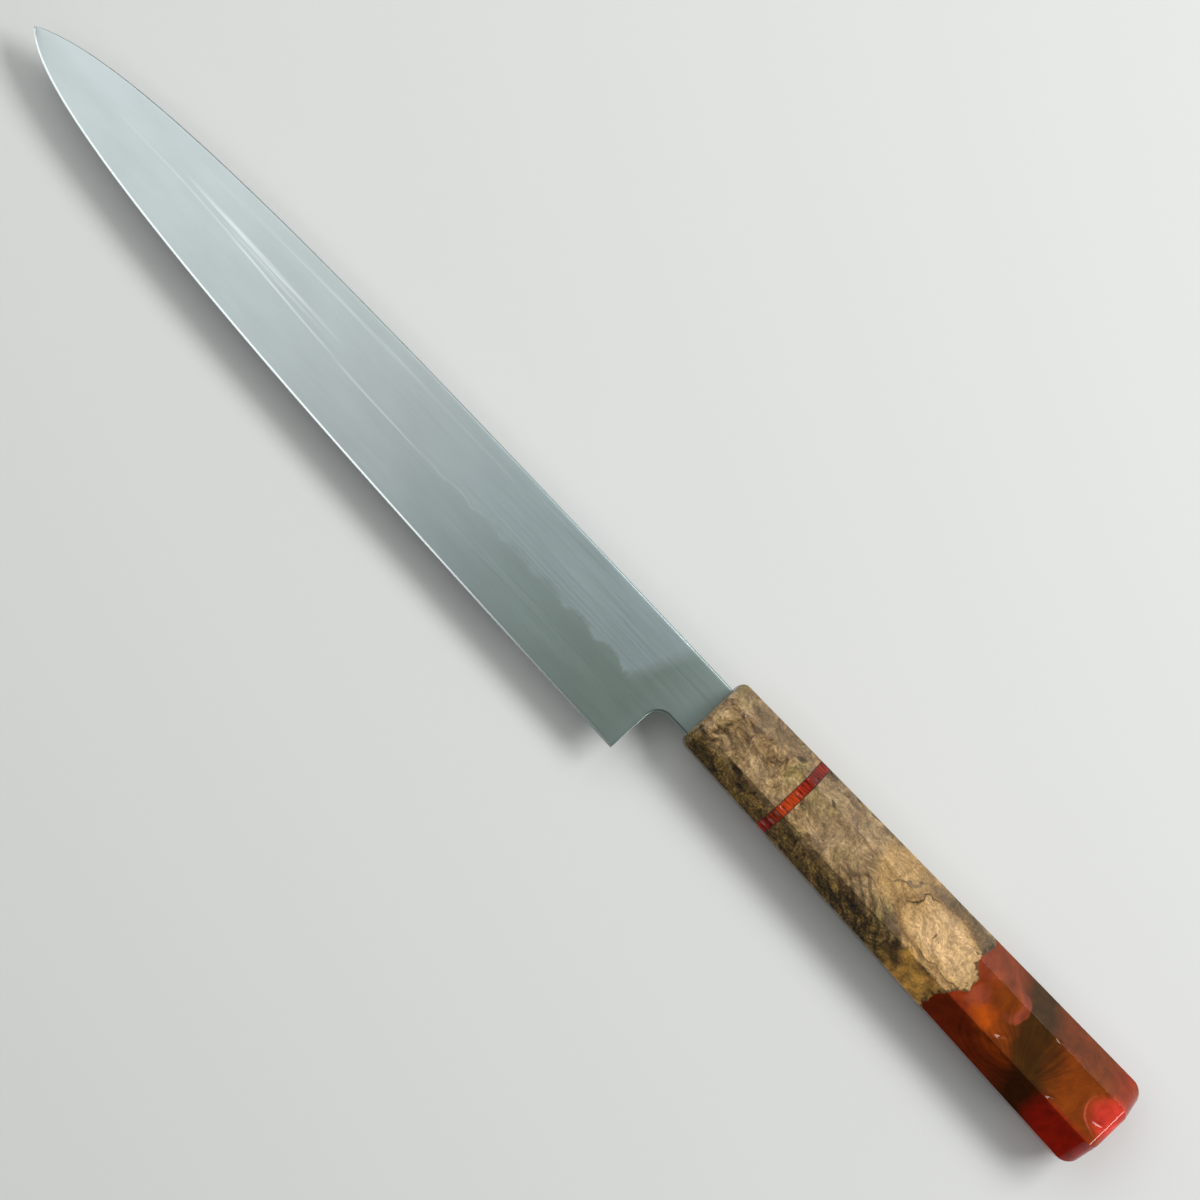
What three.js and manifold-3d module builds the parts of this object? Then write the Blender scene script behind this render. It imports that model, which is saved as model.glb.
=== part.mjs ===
// Slicing knife with a long narrow blade and an octagonal handle of burl and cast resin.
//
// Units are millimetres and +Z is up. The knife lies on its side along X, its tip towards -X and
// its butt towards +X. The spine faces +Y, the cutting edge -Y, and the blade's mid-plane is level.
// Each piece is drawn from the middle of the handle's front face, where the shoulder of the blade
// seats, and the whole knife is then moved so that the origin is under the middle of its box.

import * as THREE from "three";
import { mergeVertices } from "three/addons/utils/BufferGeometryUtils.js";
import Module from "manifold-3d";

const wasm = await Module();
wasm.setup();

// Blade outline
const bladeLength = 240; // tip to heel
const heelHeight = 33.5; // spine to edge at the heel
const spineRise = 7.75; // spine above the handle's centre line
const tipDrop = 14.1; // tip below the level part of the spine
const spineTipRun = 22.5; // how the spine leaves the tip: along the knife,
const spineTipRise = 12.7; // and up
const spineLevelRun = 165; // reach of the spine's level end, from the handle
const edgeTipRun = 10.6; // how the edge leaves the tip: along the knife,
const edgeTipFall = 13.8; // and down
const edgeHeelRun = 143; // reach of the edge's nearly level end, from the heel
const edgeHeelRise = 1.3; // how far the edge climbs over that reach

// Blade section
const shoulderThickness = 3.1; // of the spine, at the handle
const tipThickness = 0.9; // of the spine, at the tip
const distalPower = 0.8; // how soon the spine thins towards the tip
const grindPower = 1.7; // fullness of the convex faces: 1 is a flat wedge
const bevelHeight = 0.9; // of the cutting bevel
const bevelThickness = 0.36; // of the blade just behind the cutting bevel
const spineEase = 0.35; // the spine's eased corners

// Heel and neck
const neckLength = 11.1; // heel to the handle's front face
const neckHeight = 16.8; // spine to the underside of the neck
const choilRadius = 4.2; // where the heel's back edge turns into the neck
const heelLean = 0.5; // lean of the heel's back edge towards the handle
const choilEase = 0.8; // eased rims of the choil and the neck's underside

// Tang, hidden in the handle
const tangHeight = 9.5; // at the shoulder
const tangEndHeight = 5;
const tangThickness = 2.2; // at the shoulder
const tangEndThickness = 1.6;
const tangNose = 4; // length of the tapered end
const tangNoseShare = 0.6; // of the height that is left at the very end
const tangRoot = 2.8; // how deep the tang is rooted in the neck
const tangCover = 6; // dowel left behind the tang's end

// Handle blocks, from the front
const ferruleLength = 29;
const spacerThickness = 3.4;
const bodyLength = 61.7; // up to the mean of the live edge
const buttLength = 56.3;

// Handle section: an octagon with wider flats above and below, tapering towards the front
const frontWidth = 22.5;
const buttWidth = 28.5;
const frontThickness = 19;
const buttThickness = 23.5;
const frontCorner = 5.8; // what each slanted facet takes off the width and the thickness
const buttCorner = 7.7;
const edgeBreak = 0.45; // the facets' broken edges
const frontRound = 2.2; // rounding of the front rim
const buttRound = 4.6; // rounding of the butt's rim
const buttCrown = 0.7; // how far the butt's end stands out in the middle

// Live edge between the burl and the resin
const liveEdgeSwing = 2.3; // height of the long waves
const liveEdgeWave = 27; // length of the long waves across the knife
const liveEdgeDepthWave = 44; // and through its thickness
const liveEdgeRipple = 0.5; // height of the short ripples
const liveEdgeRippleWave = 4.6; // length of the short ripples
const rippleSlant = 0.6; // how far the ripples run aslant through the thickness
const rippleBreak = 0.7; // how often they break off there

// Core
const dowelWall = 1; // wood left outside the corners of the tang's slot
const dowelCover = 10; // burl left behind the dowel's end
const beddingWall = 0.5;
const glueGap = 0.3; // glue line between pieces that were bored or slotted for each other

// Mesh counts
const bladeStations = 46;
const stationCrowding = 1.6; // crowds the stations towards the tip
const faceSteps = 6; // down each face of the blade
const rimSteps = 5; // round each rim
const facetSteps = 7; // along each facet where the live edge meets it
const seamRings = 5; // from the live edge's rim to its middle
const roundSides = 40; // of the dowel and its bore
const arcSteps = 12; // round the choil
const cutMargin = 3; // how far a cutting shape runs past what it cuts

const handleLength = ferruleLength + spacerThickness + bodyLength + buttLength;
const heelX = -neckLength;
const tipX = heelX - bladeLength;
const tipY = spineRise - tipDrop;
const heelY = spineRise - heelHeight;
const neckY = spineRise - neckHeight;
const spacerX = ferruleLength;
const bodyX = spacerX + spacerThickness;
const seamX = bodyX + bodyLength;
const dowelLength = seamX - dowelCover;
const tangLength = dowelLength - tangCover;
const sleeveGrowth = glueGap + beddingWall;
const slotGrowth = sleeveGrowth + glueGap;
const slotReach = Math.hypot(tangHeight / 2 + slotGrowth, tangThickness / 2 + slotGrowth);
const dowelRadius = slotReach + dowelWall;

const steel = new THREE.MeshStandardMaterial({ color: 0xa7b2b2, roughness: 0.28, metalness: 1 });
const burl = new THREE.MeshStandardMaterial({ color: 0x8b7355, roughness: 0.3, metalness: 0 });
const redAcrylic = new THREE.MeshStandardMaterial({ color: 0xa3231c, roughness: 0.2, metalness: 0 });
const castResin = new THREE.MeshStandardMaterial({ color: 0x94431c, roughness: 0.18, metalness: 0 });
const hardwood = new THREE.MeshStandardMaterial({ color: 0xc2a477, roughness: 0.6, metalness: 0 });
const epoxy = new THREE.MeshStandardMaterial({ color: 0x2f2a25, roughness: 0.4, metalness: 0 });

// Skins a row of rings, all with the same number of points, into one closed body. The rings run
// counter-clockwise seen from the end that comes last. Each end closes on a point, by default the
// middle of its ring. Each four-sided patch is split along its shorter diagonal, so that two bodies
// that share rings meet without a gap.
function loft(rings, startPoint = middleOf(rings[0]), endPoint = middleOf(rings.at(-1))) {
  const count = rings[0].length;
  const points = [...rings.flat(), startPoint, endPoint];
  const start = points.length - 2;
  const end = points.length - 1;
  const lastRing = (rings.length - 1) * count;
  const triangles = [];
  for (let j = 0; j < count; j += 1) {
    const next = (j + 1) % count;
    triangles.push(start, next, j);
    triangles.push(end, lastRing + j, lastRing + next);
    for (let i = 0; i < rings.length - 1; i += 1) {
      const a = i * count + j;
      const b = i * count + next;
      const c = b + count;
      const d = a + count;
      const splitAtA = points[a].distanceTo(points[c]) < points[b].distanceTo(points[d]);
      triangles.push(...(splitAtA ? [a, b, c, a, c, d] : [a, b, d, b, c, d]));
    }
  }
  const geometry = new THREE.BufferGeometry().setFromPoints(points);
  geometry.setIndex(triangles);
  return geometry;
}

function middleOf(ring) {
  const sum = new THREE.Vector3();
  ring.forEach((point) => sum.add(point));
  return sum.divideScalar(ring.length);
}

function solidOf(geometry) {
  geometry.deleteAttribute("normal");
  geometry.deleteAttribute("uv");
  const merged = mergeVertices(geometry);
  const vertProperties = new Float32Array(merged.attributes.position.array);
  const triVerts = new Uint32Array(merged.index.array);
  return new wasm.Manifold(new wasm.Mesh({ numProp: 3, vertProperties, triVerts }));
}

function geometryOf(solid) {
  const { vertProperties, triVerts } = solid.getMesh();
  const geometry = new THREE.BufferGeometry();
  geometry.setAttribute("position", new THREE.BufferAttribute(vertProperties, 3));
  geometry.setIndex(new THREE.BufferAttribute(triVerts, 1));
  return geometry;
}

// The height of a curve over a place on the knife, for a curve that runs steadily towards +X.
function heightAt(curve, x) {
  let low = 0;
  let high = 1;
  while (high - low > 1e-9) {
    const mid = (low + high) / 2;
    if (curve.getPoint(mid).x < x) low = mid;
    else high = mid;
  }
  return curve.getPoint(low).y;
}

const spineCurve = new THREE.CubicBezierCurve(
  new THREE.Vector2(tipX, tipY),
  new THREE.Vector2(tipX + spineTipRun, tipY + spineTipRise),
  new THREE.Vector2(-spineLevelRun, spineRise),
  new THREE.Vector2(0, spineRise),
);

const edgeCurve = new THREE.CubicBezierCurve(
  new THREE.Vector2(tipX, tipY),
  new THREE.Vector2(tipX + edgeTipRun, tipY - edgeTipFall),
  new THREE.Vector2(heelX - edgeHeelRun, heelY + edgeHeelRise),
  new THREE.Vector2(heelX, heelY),
);

function spineThicknessAt(x) {
  const fromTip = (x - tipX) / -tipX;
  return tipThickness + (shoulderThickness - tipThickness) * fromTip ** distalPower;
}

// Thickness of the blade at a share of the way down its faces, from the spine to the bevel.
function faceThicknessAt(x, down) {
  return bevelThickness + (spineThicknessAt(x) - bevelThickness) * (1 - down ** grindPower);
}

// One section of the blade: an eased spine, two convex faces and a cutting bevel on each side.
function bladeSection(x) {
  const spineY = heightAt(spineCurve, x);
  const edgeY = x < heelX ? heightAt(edgeCurve, x) : heelY;
  const height = spineY - edgeY;
  const thickness = spineThicknessAt(x);
  const bevel = Math.min(bevelHeight, height / 4);
  const ease = Math.min(spineEase, height / 8, thickness / 4);
  const faceHeight = height - bevel;
  const face = [[spineY, thickness / 2 - ease]];
  for (let k = 0; k <= faceSteps; k += 1) {
    const down = Math.max(k / faceSteps, ease / faceHeight);
    face.push([spineY - down * faceHeight, faceThicknessAt(x, down) / 2]);
  }
  const near = face.map(([y, z]) => new THREE.Vector3(x, y, z));
  const far = face.map(([y, z]) => new THREE.Vector3(x, y, -z)).reverse();
  return [...near, new THREE.Vector3(x, edgeY, 0), ...far];
}

function bladeBlank() {
  const rings = [];
  for (let i = 1; i <= bladeStations; i += 1) {
    rings.push(bladeSection(tipX * (1 - (i / bladeStations) ** stationCrowding)));
  }
  return loft(rings, new THREE.Vector3(tipX, tipY, 0));
}

// Outline of the notch behind the heel: it rises along the heel's back edge, turns through the
// choil's arc and runs level along the neck, past the shoulder.
function choilOutline() {
  const choilX = heelX + heelLean;
  const below = heelY - cutMargin;
  const outline = new THREE.Shape();
  outline.moveTo(heelX, below);
  outline.lineTo(heelX, heelY);
  outline.lineTo(choilX, neckY - choilRadius);
  outline.absarc(choilX + choilRadius, neckY - choilRadius, choilRadius, Math.PI, Math.PI / 2, true);
  outline.lineTo(cutMargin, neckY);
  outline.lineTo(cutMargin, below);
  return outline;
}

function choilNotch() {
  const depth = shoulderThickness + 2 * cutMargin;
  const options = { depth, bevelEnabled: false, curveSegments: arcSteps };
  return new THREE.ExtrudeGeometry(choilOutline(), options).translate(0, 0, -depth / 2);
}

// Takes the sharp rim off the notch on one face of the blade. The cutter widens outwards from just
// under the face, so the easing runs out where the heel thins towards the edge.
function choilEasing(side) {
  const depth = shoulderThickness;
  const neckDown = neckHeight / (heelHeight - bevelHeight);
  const faceZ = faceThicknessAt(0, neckDown) / 2;
  const easing = { bevelEnabled: true, bevelThickness: choilEase, bevelSize: choilEase, bevelSegments: 1 };
  const cutter = new THREE.ExtrudeGeometry(choilOutline(), { depth, curveSegments: arcSteps, ...easing });
  return cutter.translate(0, 0, side > 0 ? faceZ : -faceZ - depth);
}

// The tang's tapered bar, or the room round it when it is grown on every side.
function tangBar(startX, growth) {
  const stations = [
    [startX, 1],
    [tangLength - tangNose, 1],
    [tangLength + growth, tangNoseShare],
  ];
  const rings = stations.map(([x, share]) => {
    const along = THREE.MathUtils.clamp(x / tangLength, 0, 1);
    const halfHeight = (THREE.MathUtils.lerp(tangHeight, tangEndHeight, along) * share) / 2 + growth;
    const halfThick = THREE.MathUtils.lerp(tangThickness, tangEndThickness, along) / 2 + growth;
    const corners = [[1, -1], [1, 1], [-1, 1], [-1, -1]];
    return corners.map(([up, out]) => new THREE.Vector3(x, up * halfHeight, out * halfThick));
  });
  return loft(rings);
}

// One octagonal section of the handle, drawn in by an inset all round, with broken edges. Each
// facet has the given number of steps.
function handleSection(x, inset = 0, steps = 1) {
  const along = x / handleLength;
  const halfWidth = THREE.MathUtils.lerp(frontWidth, buttWidth, along) / 2 - inset;
  const halfThick = THREE.MathUtils.lerp(frontThickness, buttThickness, along) / 2 - inset;
  const corner = THREE.MathUtils.lerp(frontCorner, buttCorner, along) - inset * (2 - Math.SQRT2);
  const quarter = [
    [halfWidth, halfThick - corner],
    [halfWidth - corner, halfThick],
  ];
  const mirrored = ([y, z], sideY, sideZ) => new THREE.Vector3(x, y * sideY, z * sideZ);
  const corners = [
    ...quarter.map((p) => mirrored(p, 1, 1)),
    ...quarter.map((p) => mirrored(p, -1, 1)).reverse(),
    ...quarter.map((p) => mirrored(p, -1, -1)),
    ...quarter.map((p) => mirrored(p, 1, -1)).reverse(),
  ];
  return corners.flatMap((from, k) => {
    const to = corners[(k + 1) % corners.length];
    const share = edgeBreak / from.distanceTo(to);
    const facet = [];
    for (let s = 0; s <= steps; s += 1) {
      facet.push(from.clone().lerp(to, share + (1 - 2 * share) * (s / steps)));
    }
    return facet;
  });
}

// Sections round the rim of one end: the inset follows a quarter circle. `outward` is +1 at the
// butt and -1 at the front.
function rimSections(endX, radius, outward, steps) {
  const rings = [];
  for (let k = 0; k <= rimSteps; k += 1) {
    const turn = (k / rimSteps) * (Math.PI / 2);
    const x = endX - outward * radius * (1 - Math.sin(turn));
    rings.push(handleSection(x, radius * (1 - Math.cos(turn)), steps));
  }
  return outward > 0 ? rings : rings.reverse();
}

// Where the live edge lies: a few long waves with short ripples, across and through the handle.
function liveEdgeX(y, z) {
  const acrossTurn = (2 * Math.PI * y) / liveEdgeWave;
  const depthTurn = (2 * Math.PI * z) / liveEdgeDepthWave;
  const rippleTurn = (2 * Math.PI) / liveEdgeRippleWave;
  const swing = liveEdgeSwing * Math.sin(acrossTurn + depthTurn);
  const crests = Math.sin(rippleTurn * (y + rippleSlant * z)) * Math.cos(rippleTurn * rippleBreak * z);
  return seamX + swing + liveEdgeRipple * crests;
}

// Rings of the live edge's surface, from its rim to near its middle, and the middle itself. The
// burl and the resin share these points, so the casting fills the burl's edge exactly.
function liveEdgeRings() {
  const rim = handleSection(seamX, 0, facetSteps).map(({ y, z }, k) => {
    return handleSection(liveEdgeX(y, z), 0, facetSteps)[k];
  });
  const rings = [rim];
  for (let k = 1; k < seamRings; k += 1) {
    const share = 1 - k / seamRings;
    rings.push(rim.map(({ y, z }) => {
      return new THREE.Vector3(liveEdgeX(y * share, z * share), y * share, z * share);
    }));
  }
  return { rings, middle: new THREE.Vector3(liveEdgeX(0, 0), 0, 0) };
}

// A round bar along the knife, for the dowel and the bores that take it.
function roundBar(startX, endX, radius) {
  const bar = new THREE.CylinderGeometry(radius, radius, endX - startX, roundSides);
  return bar.rotateZ(-Math.PI / 2).translate((startX + endX) / 2, 0, 0);
}

function dowelBore() {
  return solidOf(roundBar(-cutMargin, dowelLength + glueGap, dowelRadius + glueGap));
}

// The blade: the blank less the choil's notch and its easings, with the tang rooted in the neck.
function makeBlade() {
  const cutters = [choilNotch(), choilEasing(1), choilEasing(-1)];
  const blank = solidOf(bladeBlank());
  const notched = cutters.reduce((rest, cutter) => rest.subtract(solidOf(cutter)), blank);
  return geometryOf(notched.add(solidOf(tangBar(-tangRoot, 0))));
}

// The front block of burl, with its rounded rim.
function makeFerrule() {
  const block = loft([...rimSections(0, frontRound, -1, 1), handleSection(spacerX)]);
  return geometryOf(solidOf(block).subtract(dowelBore()));
}

function makeSpacer() {
  const plate = loft([handleSection(spacerX), handleSection(bodyX)]);
  return geometryOf(solidOf(plate).subtract(dowelBore()));
}

// The burl body: straight facets from the spacer to the live edge, and a blind bore.
function makeGripBody() {
  const { rings, middle } = liveEdgeRings();
  const front = handleSection(bodyX, 0, facetSteps);
  const block = loft([front, ...rings], middleOf(front), middle);
  return geometryOf(solidOf(block).subtract(dowelBore()));
}

// The resin butt: cast on the live edge, with a rounded rim and a crowned end.
function makeResinButt() {
  const { rings, middle } = liveEdgeRings();
  const rim = rimSections(handleLength - buttCrown, buttRound, 1, facetSteps);
  return loft([...rings.reverse(), ...rim], middle, new THREE.Vector3(handleLength, 0, 0));
}

// The core: a dowel that reaches from the front face into the body, slotted for the tang.
function makeTangDowel() {
  const bar = solidOf(roundBar(0, dowelLength, dowelRadius));
  return geometryOf(bar.subtract(solidOf(tangBar(-cutMargin, slotGrowth))));
}

// The epoxy that beds the tang: a sleeve in the dowel's slot, open at the shoulder.
function makeTangBedding() {
  const sleeve = solidOf(tangBar(0, sleeveGrowth));
  return geometryOf(sleeve.subtract(solidOf(tangBar(-cutMargin, glueGap))));
}

const knife = new THREE.Group();

function addPiece(name, geometry, material) {
  geometry.computeVertexNormals();
  const piece = new THREE.Mesh(geometry, material);
  piece.name = name;
  knife.add(piece);
}

addPiece("blade", makeBlade(), steel);
addPiece("ferrule", makeFerrule(), burl);
addPiece("spacer", makeSpacer(), redAcrylic);
addPiece("grip_body", makeGripBody(), burl);
addPiece("resin_butt", makeResinButt(), castResin);
addPiece("tang_dowel", makeTangDowel(), hardwood);
addPiece("tang_bedding", makeTangBedding(), epoxy);

const box = new THREE.Box3().setFromObject(knife);
const middle = box.getCenter(new THREE.Vector3());
knife.position.set(-middle.x, -middle.y, -box.min.z);

export default knife;
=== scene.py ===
"""Finished surfaces, materials and a plain stage for a slicing knife with an octagonal handle.

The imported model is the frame. The blade, the two burl blocks, the spacer and the resin butt are new
surfaces that stand for their nodes. The dowel and its bedding keep their own solids and get materials.
Lengths are metres. Shapes are drawn from the middle of the handle's front face, with the tip towards
-X, the butt +X, the spine +Y and the cutting edge -Y.
"""

import math

import bpy
import numpy as np
from mathutils import Matrix, Vector


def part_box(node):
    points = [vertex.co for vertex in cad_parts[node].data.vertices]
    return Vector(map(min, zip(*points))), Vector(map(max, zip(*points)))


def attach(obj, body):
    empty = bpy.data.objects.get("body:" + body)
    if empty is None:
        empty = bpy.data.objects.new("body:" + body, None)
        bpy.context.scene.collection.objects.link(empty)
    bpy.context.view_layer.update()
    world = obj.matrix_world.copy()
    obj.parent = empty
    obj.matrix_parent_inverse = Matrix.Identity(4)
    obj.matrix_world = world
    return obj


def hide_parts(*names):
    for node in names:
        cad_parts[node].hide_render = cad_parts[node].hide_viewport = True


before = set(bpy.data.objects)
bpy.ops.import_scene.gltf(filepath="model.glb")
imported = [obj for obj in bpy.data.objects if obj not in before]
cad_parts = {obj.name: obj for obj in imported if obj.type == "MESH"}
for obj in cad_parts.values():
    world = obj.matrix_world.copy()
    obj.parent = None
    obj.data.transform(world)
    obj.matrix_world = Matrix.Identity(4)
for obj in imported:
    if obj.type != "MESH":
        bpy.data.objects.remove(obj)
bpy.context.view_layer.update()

bl_info = {
    "name": "Slicing Knife",
    "version": (1, 0, 0),
    "blender": (4, 5, 0),
    "location": "3D View > Sidebar > Knife",
    "description": "Dresses a slicing knife: polished blade, burl blocks, red spacer and cast resin butt",
    "category": "Mesh",
}

MM = 0.001
TINY = MM * MM  # keeps a division from meeting 0
BODY = "root"


def linear(code):
    """The linear colour of an sRGB hex value, with full alpha."""
    shares = [int(code[k : k + 2], 16) / 255 for k in (1, 3, 5)]
    return (*[s / 12.92 if s <= 0.04045 else ((s + 0.055) / 1.055) ** 2.4 for s in shares], 1.0)


def length(name, description, millimetres):
    """A size that is set in millimetres and shown in the scene's own unit of length."""
    return bpy.props.FloatProperty(
        name=name, description=description, default=millimetres * MM, unit="LENGTH", precision=5
    )


def share(name, description, value):
    """A bare number, such as a power or a part of a whole."""
    return bpy.props.FloatProperty(name=name, description=description, default=value, subtype="FACTOR")


def angle(name, description, degrees):
    """An angle that is set in degrees."""
    return bpy.props.FloatProperty(
        name=name, description=description, default=math.radians(degrees), subtype="ANGLE"
    )


def colour(name, description, code):
    """A colour that is written as an sRGB hex value."""
    return bpy.props.FloatVectorProperty(
        name=name, description=description, default=linear(code), subtype="COLOR", size=4, min=0, max=1
    )


# Places that the frame gives
blade_low, blade_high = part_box("blade")
ferrule_low, ferrule_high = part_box("ferrule")
spacer_low, spacer_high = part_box("spacer")
_, butt_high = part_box("resin_butt")
dowel_low, dowel_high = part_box("tang_dowel")
FRONT = np.array([ferrule_low.x, *((ferrule_low + ferrule_high) / 2)[1:]])
TIP_X = blade_low.x - FRONT[0]
SPINE_Y = blade_high.y - FRONT[1]
HEEL_Y = blade_low.y - FRONT[1]
TANG_LENGTH = blade_high.x - FRONT[0]
SPACER_X = spacer_low.x - FRONT[0]
BODY_X = spacer_high.x - FRONT[0]
HANDLE_LENGTH = butt_high.x - FRONT[0]
DOWEL_LENGTH = dowel_high.x - FRONT[0]
DOWEL_RADIUS = (dowel_high.y - dowel_low.y) / 2


class BladeSizes(bpy.types.PropertyGroup):
    """Sizes of the blade that its box in the frame doesn't give."""

    tip_drop: length("Tip drop", "Tip below the level part of the spine", 14.1)
    spine_tip_run: length("Spine run at the tip", "How far the spine is pulled along the knife", 22.5)
    spine_tip_rise: length("Spine rise at the tip", "How far the spine is pulled upwards", 12.7)
    spine_level_run: length("Level spine", "Reach of the spine's level end from the handle", 165)
    edge_tip_run: length("Edge run at the tip", "How far the edge is pulled along the knife", 10.6)
    edge_tip_fall: length("Edge fall at the tip", "How far the edge is pulled downwards", 13.8)
    edge_heel_run: length("Level edge", "Reach of the edge's nearly level end from the heel", 143)
    edge_heel_rise: length("Edge rise", "How far the edge climbs over that reach", 1.3)
    shoulder_thickness: length("Shoulder thickness", "Of the spine at the handle", 3.1)
    tip_thickness: length("Tip thickness", "Of the spine at the tip", 0.9)
    distal_power: share("Distal taper", "How soon the spine thins towards the tip", 0.8)
    grind_power: share("Grind", "Fullness of the convex faces, 1 is a flat wedge", 1.7)
    bevel_height: length("Bevel height", "Of the cutting bevel", 0.6)
    bevel_thickness: length("Bevel thickness", "Of the blade just behind the cutting bevel", 0.26)
    edge_land: length("Edge land", "Half the width of the cutting edge itself", 0.01)
    point_height: length("Point", "Height of the blade below which the faces close in to the point", 5)
    spine_round: length("Spine rounding", "Radius of the spine's two corners", 0.5)
    neck_length: length("Neck length", "Heel to the handle's front face", 11.1)
    neck_height: length("Neck height", "Spine to the underside of the neck", 16.8)
    choil_radius: length("Choil radius", "Where the heel's back edge turns into the neck", 4.2)
    choil_round: length("Choil rounding", "Width of the rounded rim of choil and neck", 0.85)
    heel_lean: length("Heel lean", "Lean of the heel's back edge towards the handle", 0.5)
    tang_height: length("Tang height", "At the shoulder", 9.5)
    tang_end_height: length("Tang end height", "At the tang's end", 3)
    tang_thickness: length("Tang thickness", "At the shoulder", 2.2)
    tang_end_thickness: length("Tang end thickness", "At the tang's end", 1.6)
    line_height: length("Hardening line", "Below the handle's centre line, at the foot of the waves", 9.8)
    line_pitch: length("Hardening waves", "Length of one wave", 11.65)
    line_swing: length("Hardening swing", "Height of the waves", 1.9)


class HandleSizes(bpy.types.PropertyGroup):
    """Sizes of the handle's section, its rims and the live edge."""

    front_width: length("Front width", "Across the handle at its front", 22.5)
    butt_width: length("Butt width", "Across the handle at its butt", 28.5)
    front_thickness: length("Front thickness", "Through the handle at its front", 19)
    butt_thickness: length("Butt thickness", "Through the handle at its butt", 23.5)
    front_corner: length("Front corner", "What a slanted facet takes off at the front", 5.8)
    butt_corner: length("Butt corner", "What a slanted facet takes off at the butt", 7.7)
    edge_round: length("Facet edges", "Radius of the sanded edges between the facets", 0.2)
    front_round: length("Front rim", "Radius of the front rim", 2.2)
    butt_round: length("Butt rim", "Radius of the butt's rim", 4.6)
    butt_crown: length("Butt crown", "How far the butt's end stands out in the middle", 0.7)
    joint_ease: length("Joint easing", "Eased edge of each block where two are glued", 0.05)
    bore_gap: length("Bore gap", "Glue line round the dowel", 0.02)
    seam_x: length("Live edge", "Mean place of the live edge, from the front", 94.1)
    seam_swing: length("Live edge swing", "Height of the long waves", 2.3)
    seam_wave: length("Live edge wave", "Length of the long waves across the knife", 27)
    seam_depth_wave: length("Live edge depth wave", "Length of the long waves through it", 44)
    ripple: length("Live edge ripple", "Height of the short ripples", 0.5)


class KnifeColours(bpy.types.PropertyGroup):
    """Colours of the knife's materials."""

    steel: colour("Steel", "Body of the blade", "#B5BFC0")
    # Painted shade: the colder cast of the steel towards the handle
    steel_heel_shade: colour("Steel at the heel", "What tints the steel towards the heel", "#F8FFFF")
    hardened: colour("Hardened steel", "Below the hardening line, towards the heel", "#8D9891")
    polished: colour("Polished steel", "Cutting bevel and polishing streaks", "#DDE5E5")
    burl_dark: colour("Burl, dark", "Rims, streaks and bark", "#3C2A10")
    # Painted shade: what darkens the wood towards the cutting edge
    burl_edge_shade: colour("Heartwood", "What darkens the wood towards the cutting edge", "#A89F78")
    burl_plain: colour("Burl, plain", "Quiet grey-brown wood", "#967C5D")
    burl_brown: colour("Burl, brown", "Ground of the burl", "#80643F")
    burl_tan: colour("Burl, tan", "Figure of the burl", "#A3855A")
    burl_light: colour("Burl, light", "Brightest figure", "#BE9F72")
    burl_olive: colour("Burl, olive", "Yellow-green clouds", "#93834C")
    burl_grey: colour("Burl, grey", "Grey-brown clouds", "#705B42")
    burl_rim: colour("Sapwood, rim", "Brown rim of the sapwood", "#8F6C42")
    burl_sap: colour("Sapwood", "Tan clouds of the sapwood", "#BB955F")
    burl_pale: colour("Sapwood, pale", "Middle of the sapwood", "#DDB581")
    burl_amber: colour("Burl, amber", "Resin-soaked wood below the sapwood", "#D9A048")
    acrylic: colour("Acrylic", "Spacer", "#A52506")
    acrylic_deep: colour("Acrylic, deep", "Dark bands of the spacer", "#661003")
    # Painted glow where light would come through the spacer
    acrylic_painted_glow: colour("Acrylic, glow", "Where light comes through the spacer", "#BE4508")
    resin_red: colour("Resin, red", "Clouds by the wood", "#822C0A")
    # Painted glow at the butt's rim, where light would pass through the resin
    resin_rim_glow: colour("Resin, bright red", "Rim of the butt", "#A03614")
    # Painted reflection at the butt's end, and a painted highlight at its rim
    resin_lens_reflection: colour("Resin, lens", "Clear red cloud at the end", "#CF3A2B")
    resin_pink_highlight: colour("Resin, pink", "Rim of the cloud at the end", "#D9614C")
    resin_haze: colour("Resin, haze", "Smoky pink veils", "#97452B")
    resin_orange: colour("Resin, orange", "Bright cloud", "#AC4806")
    resin_brown: colour("Resin, brown", "Ground of the butt", "#7C3706")
    resin_olive: colour("Resin, olive", "Folds in the middle", "#452A02")
    resin_umber: colour("Resin, umber", "Towards the cutting edge, by the wood", "#641F06")
    resin_dark: colour("Resin, dark", "Deep fold", "#371402")
    resin_deep: colour("Resin, deep red", "Towards the cutting edge, by the end", "#901206")
    hardwood: colour("Hardwood", "Dowel", "#C2A477")
    epoxy: colour("Epoxy", "Bedding of the tang and glue lines", "#2F2A25")


class StageSettings(bpy.types.PropertyGroup):
    """Camera, floor and light."""

    aim_x: length("Aim along", "Where the camera aims, from the handle's front", -40.95)
    aim_y: length("Aim across", "Where the camera aims, from the handle's centre line", -1.37)
    distance: length("Distance", "From the camera to where it aims", 902.6)
    tilt: angle("Tilt", "Lean of the camera to the edge's side", 4.153)
    roll: angle("Roll", "Turn of the camera about its view", 46.81)
    lens: bpy.props.FloatProperty(
        name="Lens", description="Focal length on a 36 mm sensor", default=103.8, unit="CAMERA"
    )
    floor: colour("Floor", "Plain pale floor", "#DCDDDB")


def bezier(points, count=2000):
    """A cubic curve from the first point to the last, pulled towards the two between them."""
    t = np.linspace(0, 1, count)[:, None]
    a, b, c, d = np.array(points, float)
    return (1 - t) ** 3 * a + 3 * (1 - t) ** 2 * t * b + 3 * (1 - t) * t**2 * c + t**3 * d


def smooth(low, high, x):
    """0 below the low place, 1 above the high one, and an even S between them."""
    t = np.clip((x - low) / (high - low), 0, 1)
    return t * t * (3 - 2 * t)


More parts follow.
